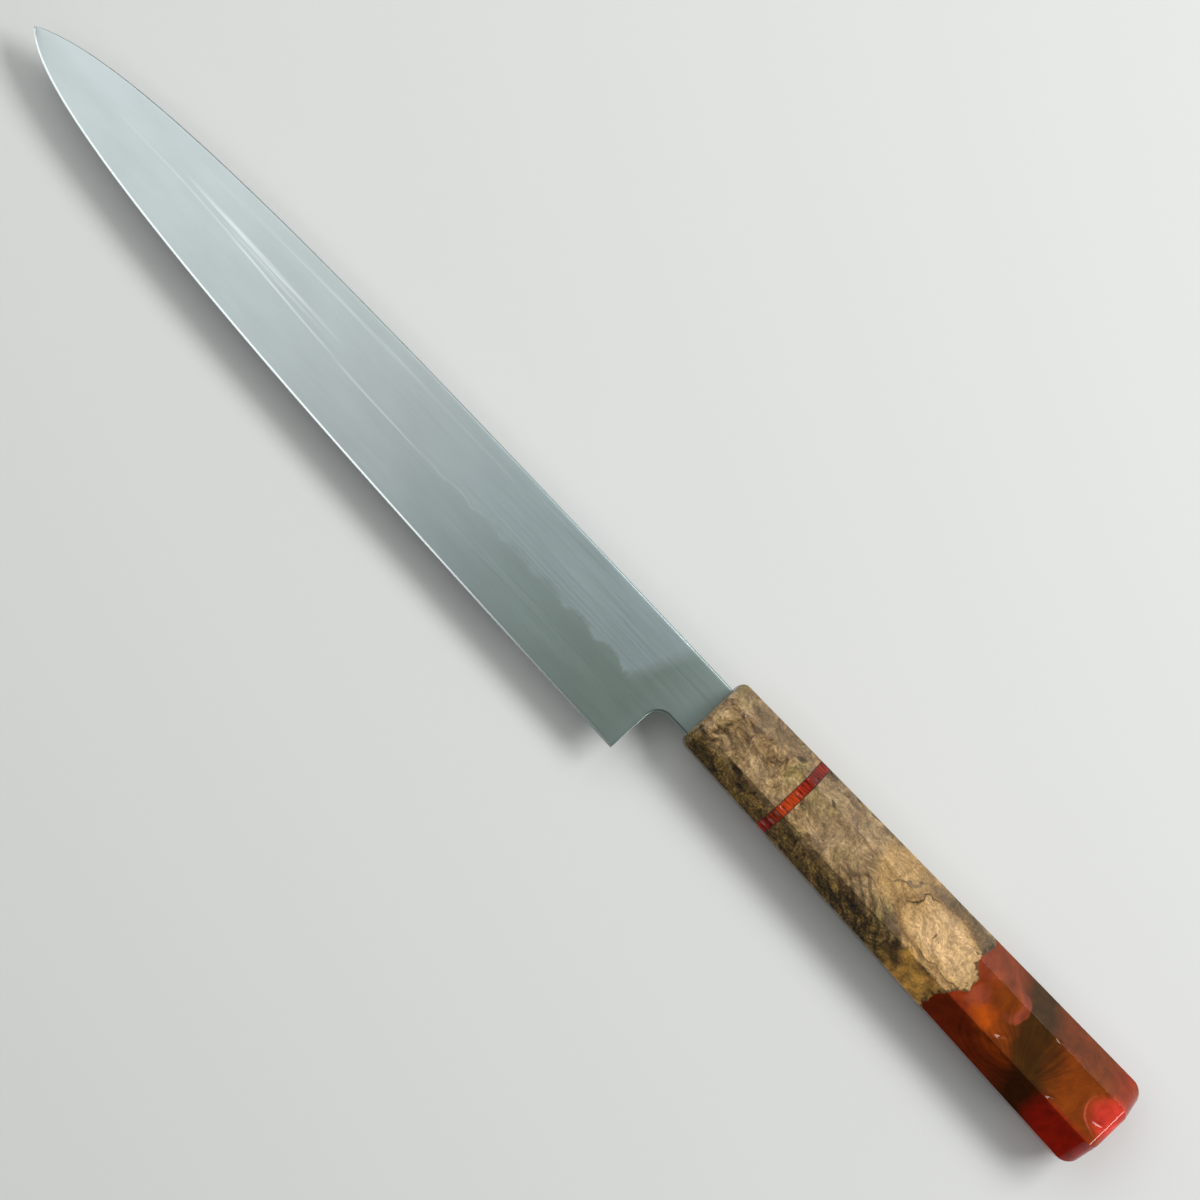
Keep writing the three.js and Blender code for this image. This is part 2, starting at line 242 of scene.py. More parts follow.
def skin(rings, start=None, end=None, joined=False, flat_ends=False):
    """Vertices and faces of the closed surface over a row of rings with equal counts.

    Each ring is joined to the next by four-sided faces. The ends close on the points start and end, or
    by joining the last ring to the first, or, for rings that are the same on both sides, by a strip
    from one side straight across to the other.
    """
    count, around = rings.shape[:2]
    points = rings.reshape(-1, 3)
    grid = np.arange(count * around).reshape(count, around)
    rows = np.vstack((grid, grid[:1])) if joined else grid
    near, far = rows[:-1], rows[1:]
    quads = [np.stack((near, np.roll(near, -1, 1), np.roll(far, -1, 1), far), -1).reshape(-1, 4)]
    fans = []
    for pole, ring, turn in ((start, grid[0], -1), (end, grid[-1], 1)):
        if pole is not None:
            hub = np.full(around, len(points))
            points = np.vstack((points, pole))
            fans.append(np.stack((hub, ring, np.roll(ring, -1)), -1)[:, ::turn])
        if flat_ends:
            half = around // 2
            side, other = ring[:half], ring[::-1][:half]
            strip = np.stack((side[:-1], side[1:], other[1:], other[:-1]), -1)
            quads.append(strip[:, ::-turn])
    quads = np.concatenate(quads)
    corners = points[quads]
    across = np.cross(corners[:, 1] - corners[:, 0], corners[:, 2] - corners[:, 0])
    across += np.cross(corners[:, 2] - corners[:, 0], corners[:, 3] - corners[:, 0])
    outward = np.einsum("ij,ij->i", across, corners.mean(1) - points.mean(0)).sum() > 0
    faces = [*quads.tolist(), *[triangle for fan in fans for triangle in fan.tolist()]]
    return points, faces if outward else [face[::-1] for face in faces]


def make_piece(context, name, points, faces, material, node, marks=None):
    """Puts a surface into a smooth-shaded mesh that rides the knife and stands for its CAD node."""
    mesh = bpy.data.meshes.new(name)
    mesh.from_pydata((points + FRONT).tolist(), [], faces)
    if mesh.validate():
        raise RuntimeError(f"{name} has faces that can't be kept")
    mesh.shade_smooth()
    for mark, values in (marks or {}).items():
        attribute = mesh.attributes.new(mark, "FLOAT", "POINT")
        attribute.data.foreach_set("value", values.astype(np.float32))
    mesh.materials.append(material)
    piece = bpy.data.objects.new(name, mesh)
    context.scene.collection.objects.link(piece)
    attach(piece, BODY)
    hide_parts(node)


# Blade

# Counts of places along the edge, the heel's back, the choil and the neck, and down a section
EDGE_STEPS = 380
BACK_STEPS = 30
CHOIL_STEPS = 36
NECK_STEPS = 12
CORNER_STEPS = 6
FACE_STEPS = 40
RIM_SHARES = np.array((0.03, 0.2, 0.4, 0.6, 0.8, 0.97, 1))
WAVES_TO_HANDLE = 2  # the last foot of the hardening waves lies this many waves from the handle


def outline(blade):
    """The blade's outline: two cubic curves from the tip, one to the handle and one to the heel."""
    tip = np.array((TIP_X, SPINE_Y - blade.tip_drop))
    heel = np.array((-blade.neck_length, HEEL_Y))
    spine_pull = tip + (blade.spine_tip_run, blade.spine_tip_rise)
    edge_pull = tip + (blade.edge_tip_run, -blade.edge_tip_fall)
    heel_pull = heel + (-blade.edge_heel_run, blade.edge_heel_rise)
    spine = bezier((tip, spine_pull, (-blade.spine_level_run, SPINE_Y), (0, SPINE_Y)))
    return spine, bezier((tip, edge_pull, heel_pull, heel))


def heights(blade, x):
    """Spine and edge over a place along the blade, and the height of its cutting bevel there."""
    spine, edge = outline(blade)
    spine_y = np.interp(x, *spine.T)
    edge_y = np.interp(x, *edge.T)
    return spine_y, edge_y, np.minimum(blade.bevel_height, (spine_y - edge_y) / 4)


def half_thickness(blade, x, y):
    """Half the blade's thickness at a place on its side.

    The spine thins towards the tip as a power of the distance from it, and close to the point as the
    root of the height that is left. The faces close in from the spine, convexly, as 1 less a power of
    the share of the way down to the bevel, and the bevel runs straight from there to the edge.
    """
    spine_y, edge_y, bevel = heights(blade, x)
    height = spine_y - edge_y
    from_tip = np.clip(1 - x / TIP_X, 0, 1) ** blade.distal_power
    thickness = blade.tip_thickness + (blade.shoulder_thickness - blade.tip_thickness) * from_tip
    point = np.sqrt(np.clip(height / blade.point_height, 0, 1))
    down = np.clip((spine_y - y) / np.maximum(height - bevel, TINY), 0, 1)
    face = blade.bevel_thickness + (thickness - blade.bevel_thickness) * (1 - down**blade.grind_power)
    above = np.clip((y - edge_y) / np.maximum(bevel, TINY), 0, 1)
    return np.maximum(point * face * above / 2, blade.edge_land)


def lower_path(blade):
    """The blade's lower outline, from the tip over edge, heel, choil and neck to the shoulder.

    For each place on it: the place itself, the step inwards across its bevel or rounded rim, whether
    that rim is rounded, and how far along the spine the place faces it lies.
    """
    heel_x = -blade.neck_length
    neck_y = SPINE_Y - blade.neck_height
    choil_x = heel_x + blade.heel_lean
    back_end = neck_y - blade.choil_radius
    fan_x = heel_x - 30 * MM  # where the columns begin to lean, to fan out over the heel
    over_heel = 2.0 * heel_x  # the heel's place on the spine
    over_choil = 1.25 * heel_x  # the choil's
    point_gap = 0.22 * MM  # the point itself is this blunt
    clear = 1.2  # edge and back stop this many rims short of the heel
    edge_run = heel_x - clear * blade.choil_round - TIP_X - point_gap
    edge_x = TIP_X + point_gap + edge_run * np.linspace(0, 1, EDGE_STEPS) ** 1.5
    _, edge_y, bevel = heights(blade, edge_x)
    flat = np.zeros_like(edge_x)
    back_y = np.linspace(HEEL_Y + clear * blade.bevel_height, back_end, BACK_STEPS)[:-1]
    back_x = np.interp(back_y, (HEEL_Y, back_end), (heel_x, choil_x))
    turn = np.linspace(math.pi, math.pi / 2, CHOIL_STEPS)
    arc_x = choil_x + blade.choil_radius * (1 + np.cos(turn))
    arc_y = neck_y + blade.choil_radius * (np.sin(turn) - 1)
    neck_x = np.append(np.linspace(arc_x[-1], -0.1 * MM, NECK_STEPS)[1:], (-0.03 * MM, 0))
    places = np.concatenate((
        np.stack((edge_x, edge_y), -1),
        [(heel_x, HEEL_Y)],
        np.stack((back_x, back_y), -1),
        np.stack((arc_x, arc_y), -1),
        np.stack((neck_x, np.full_like(neck_x, neck_y)), -1),
    ))
    ways = np.concatenate((
        np.stack((flat, bevel), -1),
        [(-blade.choil_round, blade.bevel_height)],
        np.tile((-blade.choil_round, 0), (len(back_x), 1)),
        blade.choil_round * np.stack((np.cos(turn), np.sin(turn)), -1),
        np.tile((0, blade.choil_round), (len(neck_x), 1)),
    ))
    rounded = np.concatenate((flat, [0], np.ones(len(back_x) + len(arc_x) + len(neck_x))))
    spine_x = np.concatenate((
        np.interp(edge_x, (TIP_X, fan_x, heel_x), (TIP_X, fan_x, over_heel)),
        [over_heel],
        np.interp(back_y, (HEEL_Y, back_end), (over_heel, over_choil)),
        np.interp(turn, (math.pi / 2, math.pi), (arc_x[-1], over_choil)),
        neck_x,
    ))
    return places, ways, rounded, spine_x


def blade_rings(blade):
    """Rings of the blade and its tang, along the lower outline.

    One parameter runs along that outline. The other runs down the near side of a section, over the
    spine's rounded corner, the convex face and the bevel or rounded rim, and up the far side again.
    Past the shoulder the last section is drawn in to the tang's and carried on to its end.
    """
    places, ways, rounded, spine_x = lower_path(blade)
    spine_y, edge_y, _ = heights(blade, spine_x)
    spine = np.stack((spine_x, spine_y), -1)[:, None]
    # The spine's rounding takes at most 0.7 of the half thickness and an eighth of the height
    room = np.minimum(half_thickness(blade, spine_x, spine_y) * 0.7, (spine_y - edge_y) / 8)
    ease = np.minimum(blade.spine_round, room)[:, None]
    corner = np.linspace(0, math.pi / 2, CORNER_STEPS)[:-1]
    over = spine - np.stack((0 * corner, 1 - np.cos(corner)), -1) * ease[..., None]
    down = np.concatenate((np.linspace(0, 1, FACE_STEPS)[:-1], (0.996, 1)))[:, None]
    top = spine - np.stack((0 * ease, ease), -1)
    rim_top = (places + ways)[:, None]
    face = top + (rim_top - top) * down
    rim_turn = RIM_SHARES * math.pi / 2
    kept = np.where(rounded[:, None] > 0, 1 - np.sin(rim_turn), 1 - RIM_SHARES)
    low = places[:, None] + ways[:, None] * kept[..., None]
    flat = np.concatenate((over, face, low), 1)
    out = half_thickness(blade, flat[..., 0], flat[..., 1])
    out[:, : len(corner)] -= ease * (1 - np.sin(corner))
    # The rounded rim takes at most 0.6 of it
    rim_depth = np.minimum(blade.choil_round, 0.6 * out[:, -1:]) * rounded[:, None]
    out[:, -len(rim_turn) :] -= rim_depth * (1 - np.cos(rim_turn))
    near = np.concatenate((flat, out[..., None]), -1)
    rings = np.concatenate((near, near[:, ::-1] * (1, 1, -1)), 1)
    shoulder = rings[-1]
    middle_y = SPINE_Y - blade.neck_height / 2
    unit = (shoulder - (0, middle_y, 0)) / (1, blade.neck_height, 2 * shoulder[:, 2].max())
    tang = [
        unit * (1, blade.tang_height, blade.tang_thickness),
        unit * (1, blade.tang_end_height, blade.tang_end_thickness) + (TANG_LENGTH, 0, 0),
    ]
    return np.concatenate((rings, tang))


def hardening_line(blade, x):
    """Height of the hardening line over a place along the blade.

    From the tip it sinks in one S, breaks into waves with pointed feet, each the rounded hump of a
    sine, and behind the last foot climbs in one S over the neck to the spine.
    """
    foot = -blade.line_height
    last_foot = -WAVES_TO_HANDLE * blade.line_pitch
    fullness = 0.75  # of a hump, 1 is a plain sine
    past_spine = 1.15  # the climb leads a little past the spine
    sink = 3.4 * MM * (1 - smooth(0.8 * TIP_X, 0.45 * TIP_X, x))
    humps = np.abs(np.sin(math.pi * (x - last_foot) / blade.line_pitch)) ** fullness
    swing = blade.line_swing * smooth(0.42 * TIP_X, 0.27 * TIP_X, x) * (x < last_foot)
    climb = (SPINE_Y - foot) * past_spine * smooth(last_foot, 0.45 * last_foot, x)
    return foot + 0.5 * MM + sink + (humps - 0.25) * swing + climb


class KNIFE_OT_blade(bpy.types.Operator):
    """Makes the polished blade with its cutting bevel, choil, neck and tang"""

    bl_idname = "knife.blade"
    bl_label = "Blade"

    def execute(self, context):
        blade = context.scene.knife_blade
        points, faces = skin(blade_rings(blade), flat_ends=True)
        spine_y, edge_y, _ = heights(blade, points[:, 0])
        last_foot = -WAVES_TO_HANDLE * blade.line_pitch
        # The line grows nine times as wide over the neck
        line_width = 1 + 8 * smooth(1.02 * last_foot, 0.75 * last_foot, points[:, 0])
        marks = {
            "above_edge": (points[:, 1] - edge_y) / MM,
            "below_spine": (spine_y - points[:, 1]) / MM,
            "above_line": (points[:, 1] - hardening_line(blade, points[:, 0])) / line_width / MM,
        }
        steel = stone_polished_steel(context.scene.knife_colours)
        make_piece(context, "blade_forged", points, faces, steel, "blade", marks)
        return {"FINISHED"}


# Handle

# Order of the eight corners round the section, from the upper end of the spine-side facet
CORNER_Y = np.array((1, 1, -1, -1, -1, -1, 1, 1))
CORNER_Z = np.array((1, 1, 1, 1, -1, -1, -1, -1))
CUT_IN_Y = np.array((0, 1, 1, 0, 0, 1, 1, 0))
ARC_STEPS = 5
FACET_STEPS = 28
SIDE_STEPS = 40
BLOCK_STEPS = 24
BUTT_STEPS = 22
END_STEPS = 14
# A ring close to a corner keeps it crisp: how far off it lies, or at which share of the way
NEXT_TO = 0.1 * MM
NEXT_SHARE = 0.0006
FACE_SHARES = (0.02, 0.5, 0.98)
SEAM_SHARES = (1, 0.997, 0.8, 0.6, 0.4, 0.2, 0.03)


def ring_plan():
    """For each point of a ring: its corner, its share of the way to the next, and the normal's angle."""
    way = np.concatenate((np.zeros(ARC_STEPS + 1), np.linspace(0, 1, FACET_STEPS + 1)[1:-1]))
    bend = np.concatenate((np.linspace(0, 1, ARC_STEPS + 1), np.ones(FACET_STEPS - 1)))
    corner = np.repeat(np.arange(8), len(way))
    angle = (corner + np.tile(bend, 8)) * math.pi / 4
    return corner, np.tile(way, 8), angle


def handle_rings(handle, x, inset=0.0):
    """Rings round the handle at places along it, drawn in by an inset.

    The section is an octagon that tapers evenly along the handle. It is drawn as the octagon inside it,
    with each point moved out along its normal by the radius of the facets' edges, so the edges are arcs.
    """
    corner, way, angle = ring_plan()
    x, inset = np.broadcast_arrays(x, inset, np.zeros(len(corner)))[:2]
    draw = inset + handle.edge_round

    def taper(front, butt):
        return front + (butt - front) * (x / HANDLE_LENGTH)

    half_width = taper(handle.front_width, handle.butt_width) / 2 - draw
    half_thick = taper(handle.front_thickness, handle.butt_thickness) / 2 - draw
    cut = taper(handle.front_corner, handle.butt_corner) - draw * (2 - math.sqrt(2))
    ends = []
    for k in (corner, (corner + 1) % 8):
        y = CORNER_Y[k] * (half_width - cut * CUT_IN_Y[k])
        z = CORNER_Z[k] * (half_thick - cut * (1 - CUT_IN_Y[k]))
        ends.append(np.stack((y, z), -1))
    flat = ends[0] + (ends[1] - ends[0]) * way[:, None]
    flat = flat + handle.edge_round * np.stack((np.cos(angle), np.sin(angle)), -1)
    return np.concatenate((x[..., None], flat), -1)


def round_rings(ring, x, radius):
    """Circles along the handle whose points lie on the same rays from its centre line as a ring's."""
    angle = np.arctan2(ring[:, 2], ring[:, 1])
    circle = np.stack((0 * angle, radius * np.cos(angle), radius * np.sin(angle)), -1)
    return circle + np.array(x)[:, None, None] * np.array((1, 0, 0))


def between(first, last, shares):
    """Rings on the way from one ring to another, at the given shares of it."""
    return first + (last - first) * np.array(shares)[:, None, None]


def rim(end_x, radius, outward, steps=END_STEPS):
    """Places and insets round a rim: a quarter circle from the side of the handle to its end face."""
    turn = np.linspace(0, math.pi / 2, steps)[:, None]
    return end_x - outward * radius * (1 - np.sin(turn)), radius * (1 - np.cos(turn))


def live_edge(handle, y, z):
    """Where the live edge lies: a long wave across and through the handle, and one half as long.

    On them lie ripples that grow with the square of the distance from the centre line. Round the handle
    they are sines of three whole counts, whose phase and height swing with slower sines.
    """
    turn = 2 * math.pi
    swing = np.sin(turn * (y / handle.seam_wave + z / handle.seam_depth_wave))
    half_as_long = 2 * y / handle.seam_wave + 0.3 * z / handle.seam_depth_wave
    swing = swing + 0.35 * np.cos(turn * half_as_long) + 0.15
    about = np.arctan2(z, y)
    reach = (y * y + z * z) / (handle.butt_thickness / 2) ** 2
    ripples = np.sin(11 * about + 0.6 + 1.8 * np.sin(4 * about))
    # Finer ripples: their height and count, the swing, count and start of their phase, and the count
    # and start of their swelling
    for height, count, push, pushes, push_start, swells, swell_start in (
        (0.6, 23, 2.4, 6, 1, 5, 1),
        (0.3, 47, 2.8, 9, 0, 7, 2),
    ):
        wave = np.sin(count * about + push * np.sin(pushes * about + push_start))
        ripples = ripples + height * wave * (0.5 + 0.5 * np.sin(swells * about + swell_start))
    return handle.seam_x + handle.seam_swing * swing + handle.ripple * ripples * reach


def live_edge_rings(handle):
    """Rings of the live edge, from its rim to near its middle, and the middle itself.

    The rim is drawn in evenly, and each point moved along the knife to where the live edge is there.
    """
    mean = handle_rings(handle, np.array([[handle.seam_x]]))[0]
    rim_ring = handle_rings(handle, live_edge(handle, mean[:, 1], mean[:, 2])[None])[0]
    rings = rim_ring * np.array(SEAM_SHARES)[:, None, None]
    rings[..., 0] = live_edge(handle, rings[..., 1], rings[..., 2])
    rings[0, :, 0] = rim_ring[:, 0]
    return rings, np.array((live_edge(handle, 0, 0), 0, 0))


def block_front(handle, start_x, radius):
    """Rings of a block's bored front from the bore outwards: the face, then the rounded or eased rim."""
    x, inset = rim(start_x, radius, -1)
    edge = handle_rings(handle, x, inset)[::-1]
    mouth = round_rings(edge[0], (start_x,), DOWEL_RADIUS + handle.bore_gap)[0]
    return np.concatenate((between(mouth, edge[0], (0, *FACE_SHARES)), edge))


def bored_block(handle, start_x, end_x, radius):
    """A block between two glued faces, bored for the dowel: its front, sides, back and bore."""
    front = block_front(handle, start_x, radius)
    x, inset = rim(end_x, handle.joint_ease, 1, 4)
    sides = np.linspace(start_x + radius + NEXT_TO, end_x - 2 * handle.joint_ease, BLOCK_STEPS)[:, None]
    back_edge = handle_rings(handle, x, inset)
    mouth = round_rings(back_edge[-1], (end_x,), DOWEL_RADIUS + handle.bore_gap)[0]
    back = between(back_edge[-1], mouth, (*FACE_SHARES, 1))
    return skin(np.concatenate((front, handle_rings(handle, sides), back_edge, back)), joined=True)


class KNIFE_OT_burl(bpy.types.Operator):
    """Makes the two burl blocks: the ferrule, and the body of the grip up to its live edge"""

    bl_idname = "knife.burl"
    bl_label = "Burl blocks"

    def execute(self, context):
        handle = context.scene.knife_handle
        burl = stabilised_burl(context.scene.knife_colours)

        def to_seam(points):
            return {"to_seam": (live_edge(handle, points[:, 1], points[:, 2]) - points[:, 0]) / MM}

        points, faces = bored_block(handle, 0.0, SPACER_X, handle.front_round)
        make_piece(context, "ferrule_burl", points, faces, burl, "ferrule", to_seam(points))
        front = block_front(handle, BODY_X, handle.joint_ease)
        rings, middle = live_edge_rings(handle)
        way = np.append(np.linspace(0, 1, SIDE_STEPS)[1:-1], (1 - NEXT_SHARE, 1))[:, None]
        start = BODY_X + 2 * handle.joint_ease
        sides = handle_rings(handle, start + (rings[0, :, 0] - start) * way)
        bore_end = DOWEL_LENGTH + handle.bore_gap
        bore_x = (bore_end, bore_end - NEXT_TO, BODY_X + NEXT_TO)
        bore = round_rings(front[0], bore_x, DOWEL_RADIUS + handle.bore_gap)
        blind = bore[:1] * (1, 0.05, 0.05)
        body = np.concatenate((blind, bore, front, sides, rings[1:]))
        points, faces = skin(body, start=(bore_end, 0, 0), end=middle)
        make_piece(context, "grip_burl", points, faces, burl, "grip_body", to_seam(points))
        return {"FINISHED"}


class KNIFE_OT_spacer(bpy.types.Operator):
    """Makes the red acrylic plate between the two burl blocks"""

    bl_idname = "knife.spacer"
    bl_label = "Spacer"

    def execute(self, context):
        handle = context.scene.knife_handle
        acrylic = cast_acrylic(context.scene.knife_colours)
        points, faces = bored_block(handle, SPACER_X, BODY_X, handle.joint_ease)
        make_piece(context, "spacer_acrylic", points, faces, acrylic, "spacer")
        return {"FINISHED"}


class KNIFE_OT_resin(bpy.types.Operator):
    """Makes the resin butt, cast against the live edge, with its rounded rim and crowned end"""

    bl_idname = "knife.resin"
    bl_label = "Resin butt"

    def execute(self, context):
        handle = context.scene.knife_handle
        rings, middle = live_edge_rings(handle)
        x, inset = rim(HANDLE_LENGTH, handle.butt_round, 1, BUTT_STEPS)
        reach = handle.butt_thickness / 2
        crown = handle.butt_crown * (1 - inset / reach) ** 2
        edge = handle_rings(handle, x - crown, inset)
        way = np.append(NEXT_SHARE, np.linspace(0, 1, SIDE_STEPS)[1:-1])[:, None]
        sides = handle_rings(handle, rings[0, :, 0] + (edge[0, :, 0] - rings[0, :, 0]) * way)
        drawn = np.linspace(1, 0.04, END_STEPS)[1:, None, None]
        end = edge[-1] * drawn
        flat_share = (1 - handle.butt_round / reach) * drawn[..., 0]
        end[..., 0] = HANDLE_LENGTH - handle.butt_crown * flat_share**2
        butt = np.concatenate((rings[::-1], sides, edge, end))
        points, faces = skin(butt, start=middle, end=(HANDLE_LENGTH, 0, 0))
        resin = swirled_resin(context.scene.knife_colours, handle)
        make_piece(context, "butt_resin", points, faces, resin, "resin_butt")
        return {"FINISHED"}


class KNIFE_OT_core(bpy.types.Operator):
    """Gives the dowel and the bedding of the tang, which show at the front face, their materials"""

    bl_idname = "knife.core"
    bl_label = "Core"

    def execute(self, context):
        colours = context.scene.knife_colours
        finishes = {"tang_dowel": turned_hardwood(colours), "tang_bedding": cured_epoxy(colours)}
        for name, material in finishes.items():
            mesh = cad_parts[name].data
            mesh.materials.clear()
            mesh.materials.append(material)
        return {"FINISHED"}


# Materials

SMOOTH = {"interpolation_type": "SMOOTHSTEP"}
PAINT = {"output": 2, "data_type": "RGBA"}


def connect(tree, sockets, values):
    """Gives sockets their values: a link where a value is a node's output, else a number or a colour."""
    for name, value in values.items():
        if isinstance(value, bpy.types.NodeSocket):
            tree.links.new(value, sockets[name])
        else:
            sockets[name].default_value = value


def add(tree, kind, links=None, output=0, stops=(), **settings):
    """Adds a node with its settings, gives its sockets values or links, and returns one of its outputs.

    Stops are the places and colours of a colour ramp.
    """
    made = tree.nodes.new("ShaderNode" + kind)
    for name, value in settings.items():
        setattr(made, name, value)
    connect(tree, made.inputs, links or {})
    for k, (position, paint) in enumerate(stops):
        ramp = made.color_ramp.elements
        stop = ramp[k] if k < 2 else ramp.new(position)
        stop.position = position
        stop.color = paint
    return made.outputs[output]


def new_material(name):
    """An empty material: its node tree, its shader, and the place on the knife in millimetres."""
    material = bpy.data.materials.new(name)
    material.use_nodes = True
    tree = material.node_tree
    where = add(tree, "TexCoord", output="Object")
    place = add(tree, "Mapping", {0: where, "Location": tuple(-FRONT / MM), "Scale": (1 / MM,) * 3})
    return material, tree, tree.nodes["Principled BSDF"], place


def patch(tree, place, centre, reach, turn=0.0):
    """A soft ellipsoid in millimetres: 1 at its centre, falling evenly to 0 at its reach."""
    links = {0: place, "Location": centre, "Rotation": (0, 0, math.radians(turn)), "Scale": reach}
    moved = add(tree, "Mapping", links, vector_type="TEXTURE")
    return add(tree, "TexGradient", {0: moved}, output=1, gradient_type="SPHERICAL")


def swirl(tree, place, wave, push):
    """The place, pushed about by a soft noise of the given wave length, both in millimetres."""
    noise = add(tree, "TexNoise", {"Vector": place, "Scale": 1 / wave, "Detail": 2.0}, output="Color")
    centred = add(tree, "VectorMath", {0: noise, 1: (0.5, 0.5, 0.5)}, operation="SUBTRACT")
    moved = add(tree, "VectorMath", {0: centred, "Scale": push}, operation="SCALE")
    return add(tree, "VectorMath", {0: place, 1: moved}, operation="ADD")


def drawn_out(tree, place, size, detail, roughness=0.5, turn=0.0):
    """A noise with grains of the given size along, across and through, in millimetres."""
    links = {0: place, "Rotation": (0, 0, turn), "Scale": tuple(1 / s for s in size)}
    way = add(tree, "Mapping", links)
    return add(tree, "TexNoise", {"Vector": way, "Scale": 1.0, "Detail": detail, "Roughness": roughness})


def layered(tree, place, wave, detail, count):
    """Layers between the level lines of a noise, each rising from 0 to 1; the wave is in millimetres."""
    noise = add(tree, "TexNoise", {"Vector": place, "Scale": 1 / wave, "Detail": detail})
    many = add(tree, "Math", {0: noise, 1: count}, operation="MULTIPLY")
    return add(tree, "Math", {0: many}, operation="FRACT")


def near(tree, value, level, outer, inner, most=1.0):
    """How near a value comes to a level: 0 from the outer gap on, the most within the inner one."""
    gap = add(tree, "Math", {0: value, 1: level}, operation="SUBTRACT")
    gap = add(tree, "Math", {0: gap}, operation="ABSOLUTE")
    return add(tree, "MapRange", {0: gap, 1: outer, 2: inner, 4: most}, **SMOOTH)


def tint(tree, tone, paint, value, low, high, most=1.0):
    """Lays a paint over a tone: not at all where the value is low, the most where it is high."""
    cover = add(tree, "MapRange", {0: value, 1: low, 2: high, 4: most}, **SMOOTH)
    return add(tree, "Mix", {0: cover, 6: tone, 7: paint}, **PAINT)


def spot(tree, tone, paint, place, centre, reach, full, most, turn=0.0):
    """Lays a paint over a tone in a soft ellipsoid: the most where that has come to its full value."""
    return tint(tree, tone, paint, patch(tree, place, centre, reach, turn), 0.1, full, most)


def shade(tree, tone, value, low, high, dark, light):
    """Multiplies a tone by one number where the value is low, going over to another where it is high."""
    level = add(tree, "MapRange", {0: value, 1: low, 2: high, 3: dark, 4: light})
    start = tone if isinstance(tone, bpy.types.NodeSocket) else tuple(tone)[:3]
    return add(tree, "VectorMath", {0: start, "Scale": level}, operation="SCALE")


def dented(tree, place, relief, dents, steepness=0.3):
    """Presses dents into a relief, each given by its centre, its reach in millimetres and its turn.

    The steepness is a dent's depth as a share of its narrow reach. Steep sides glint.
    """
    for centre, reach, turn in dents:
        hollow = patch(tree, place, centre, reach, turn)
        hollow = add(tree, "MapRange", {0: hollow}, **SMOOTH)
        depth = steepness * reach[1] * MM
        links = {"Height": hollow, "Strength": 1.0, "Distance": depth, "Normal": relief}
        relief = add(tree, "Bump", links, invert=True)
    return relief


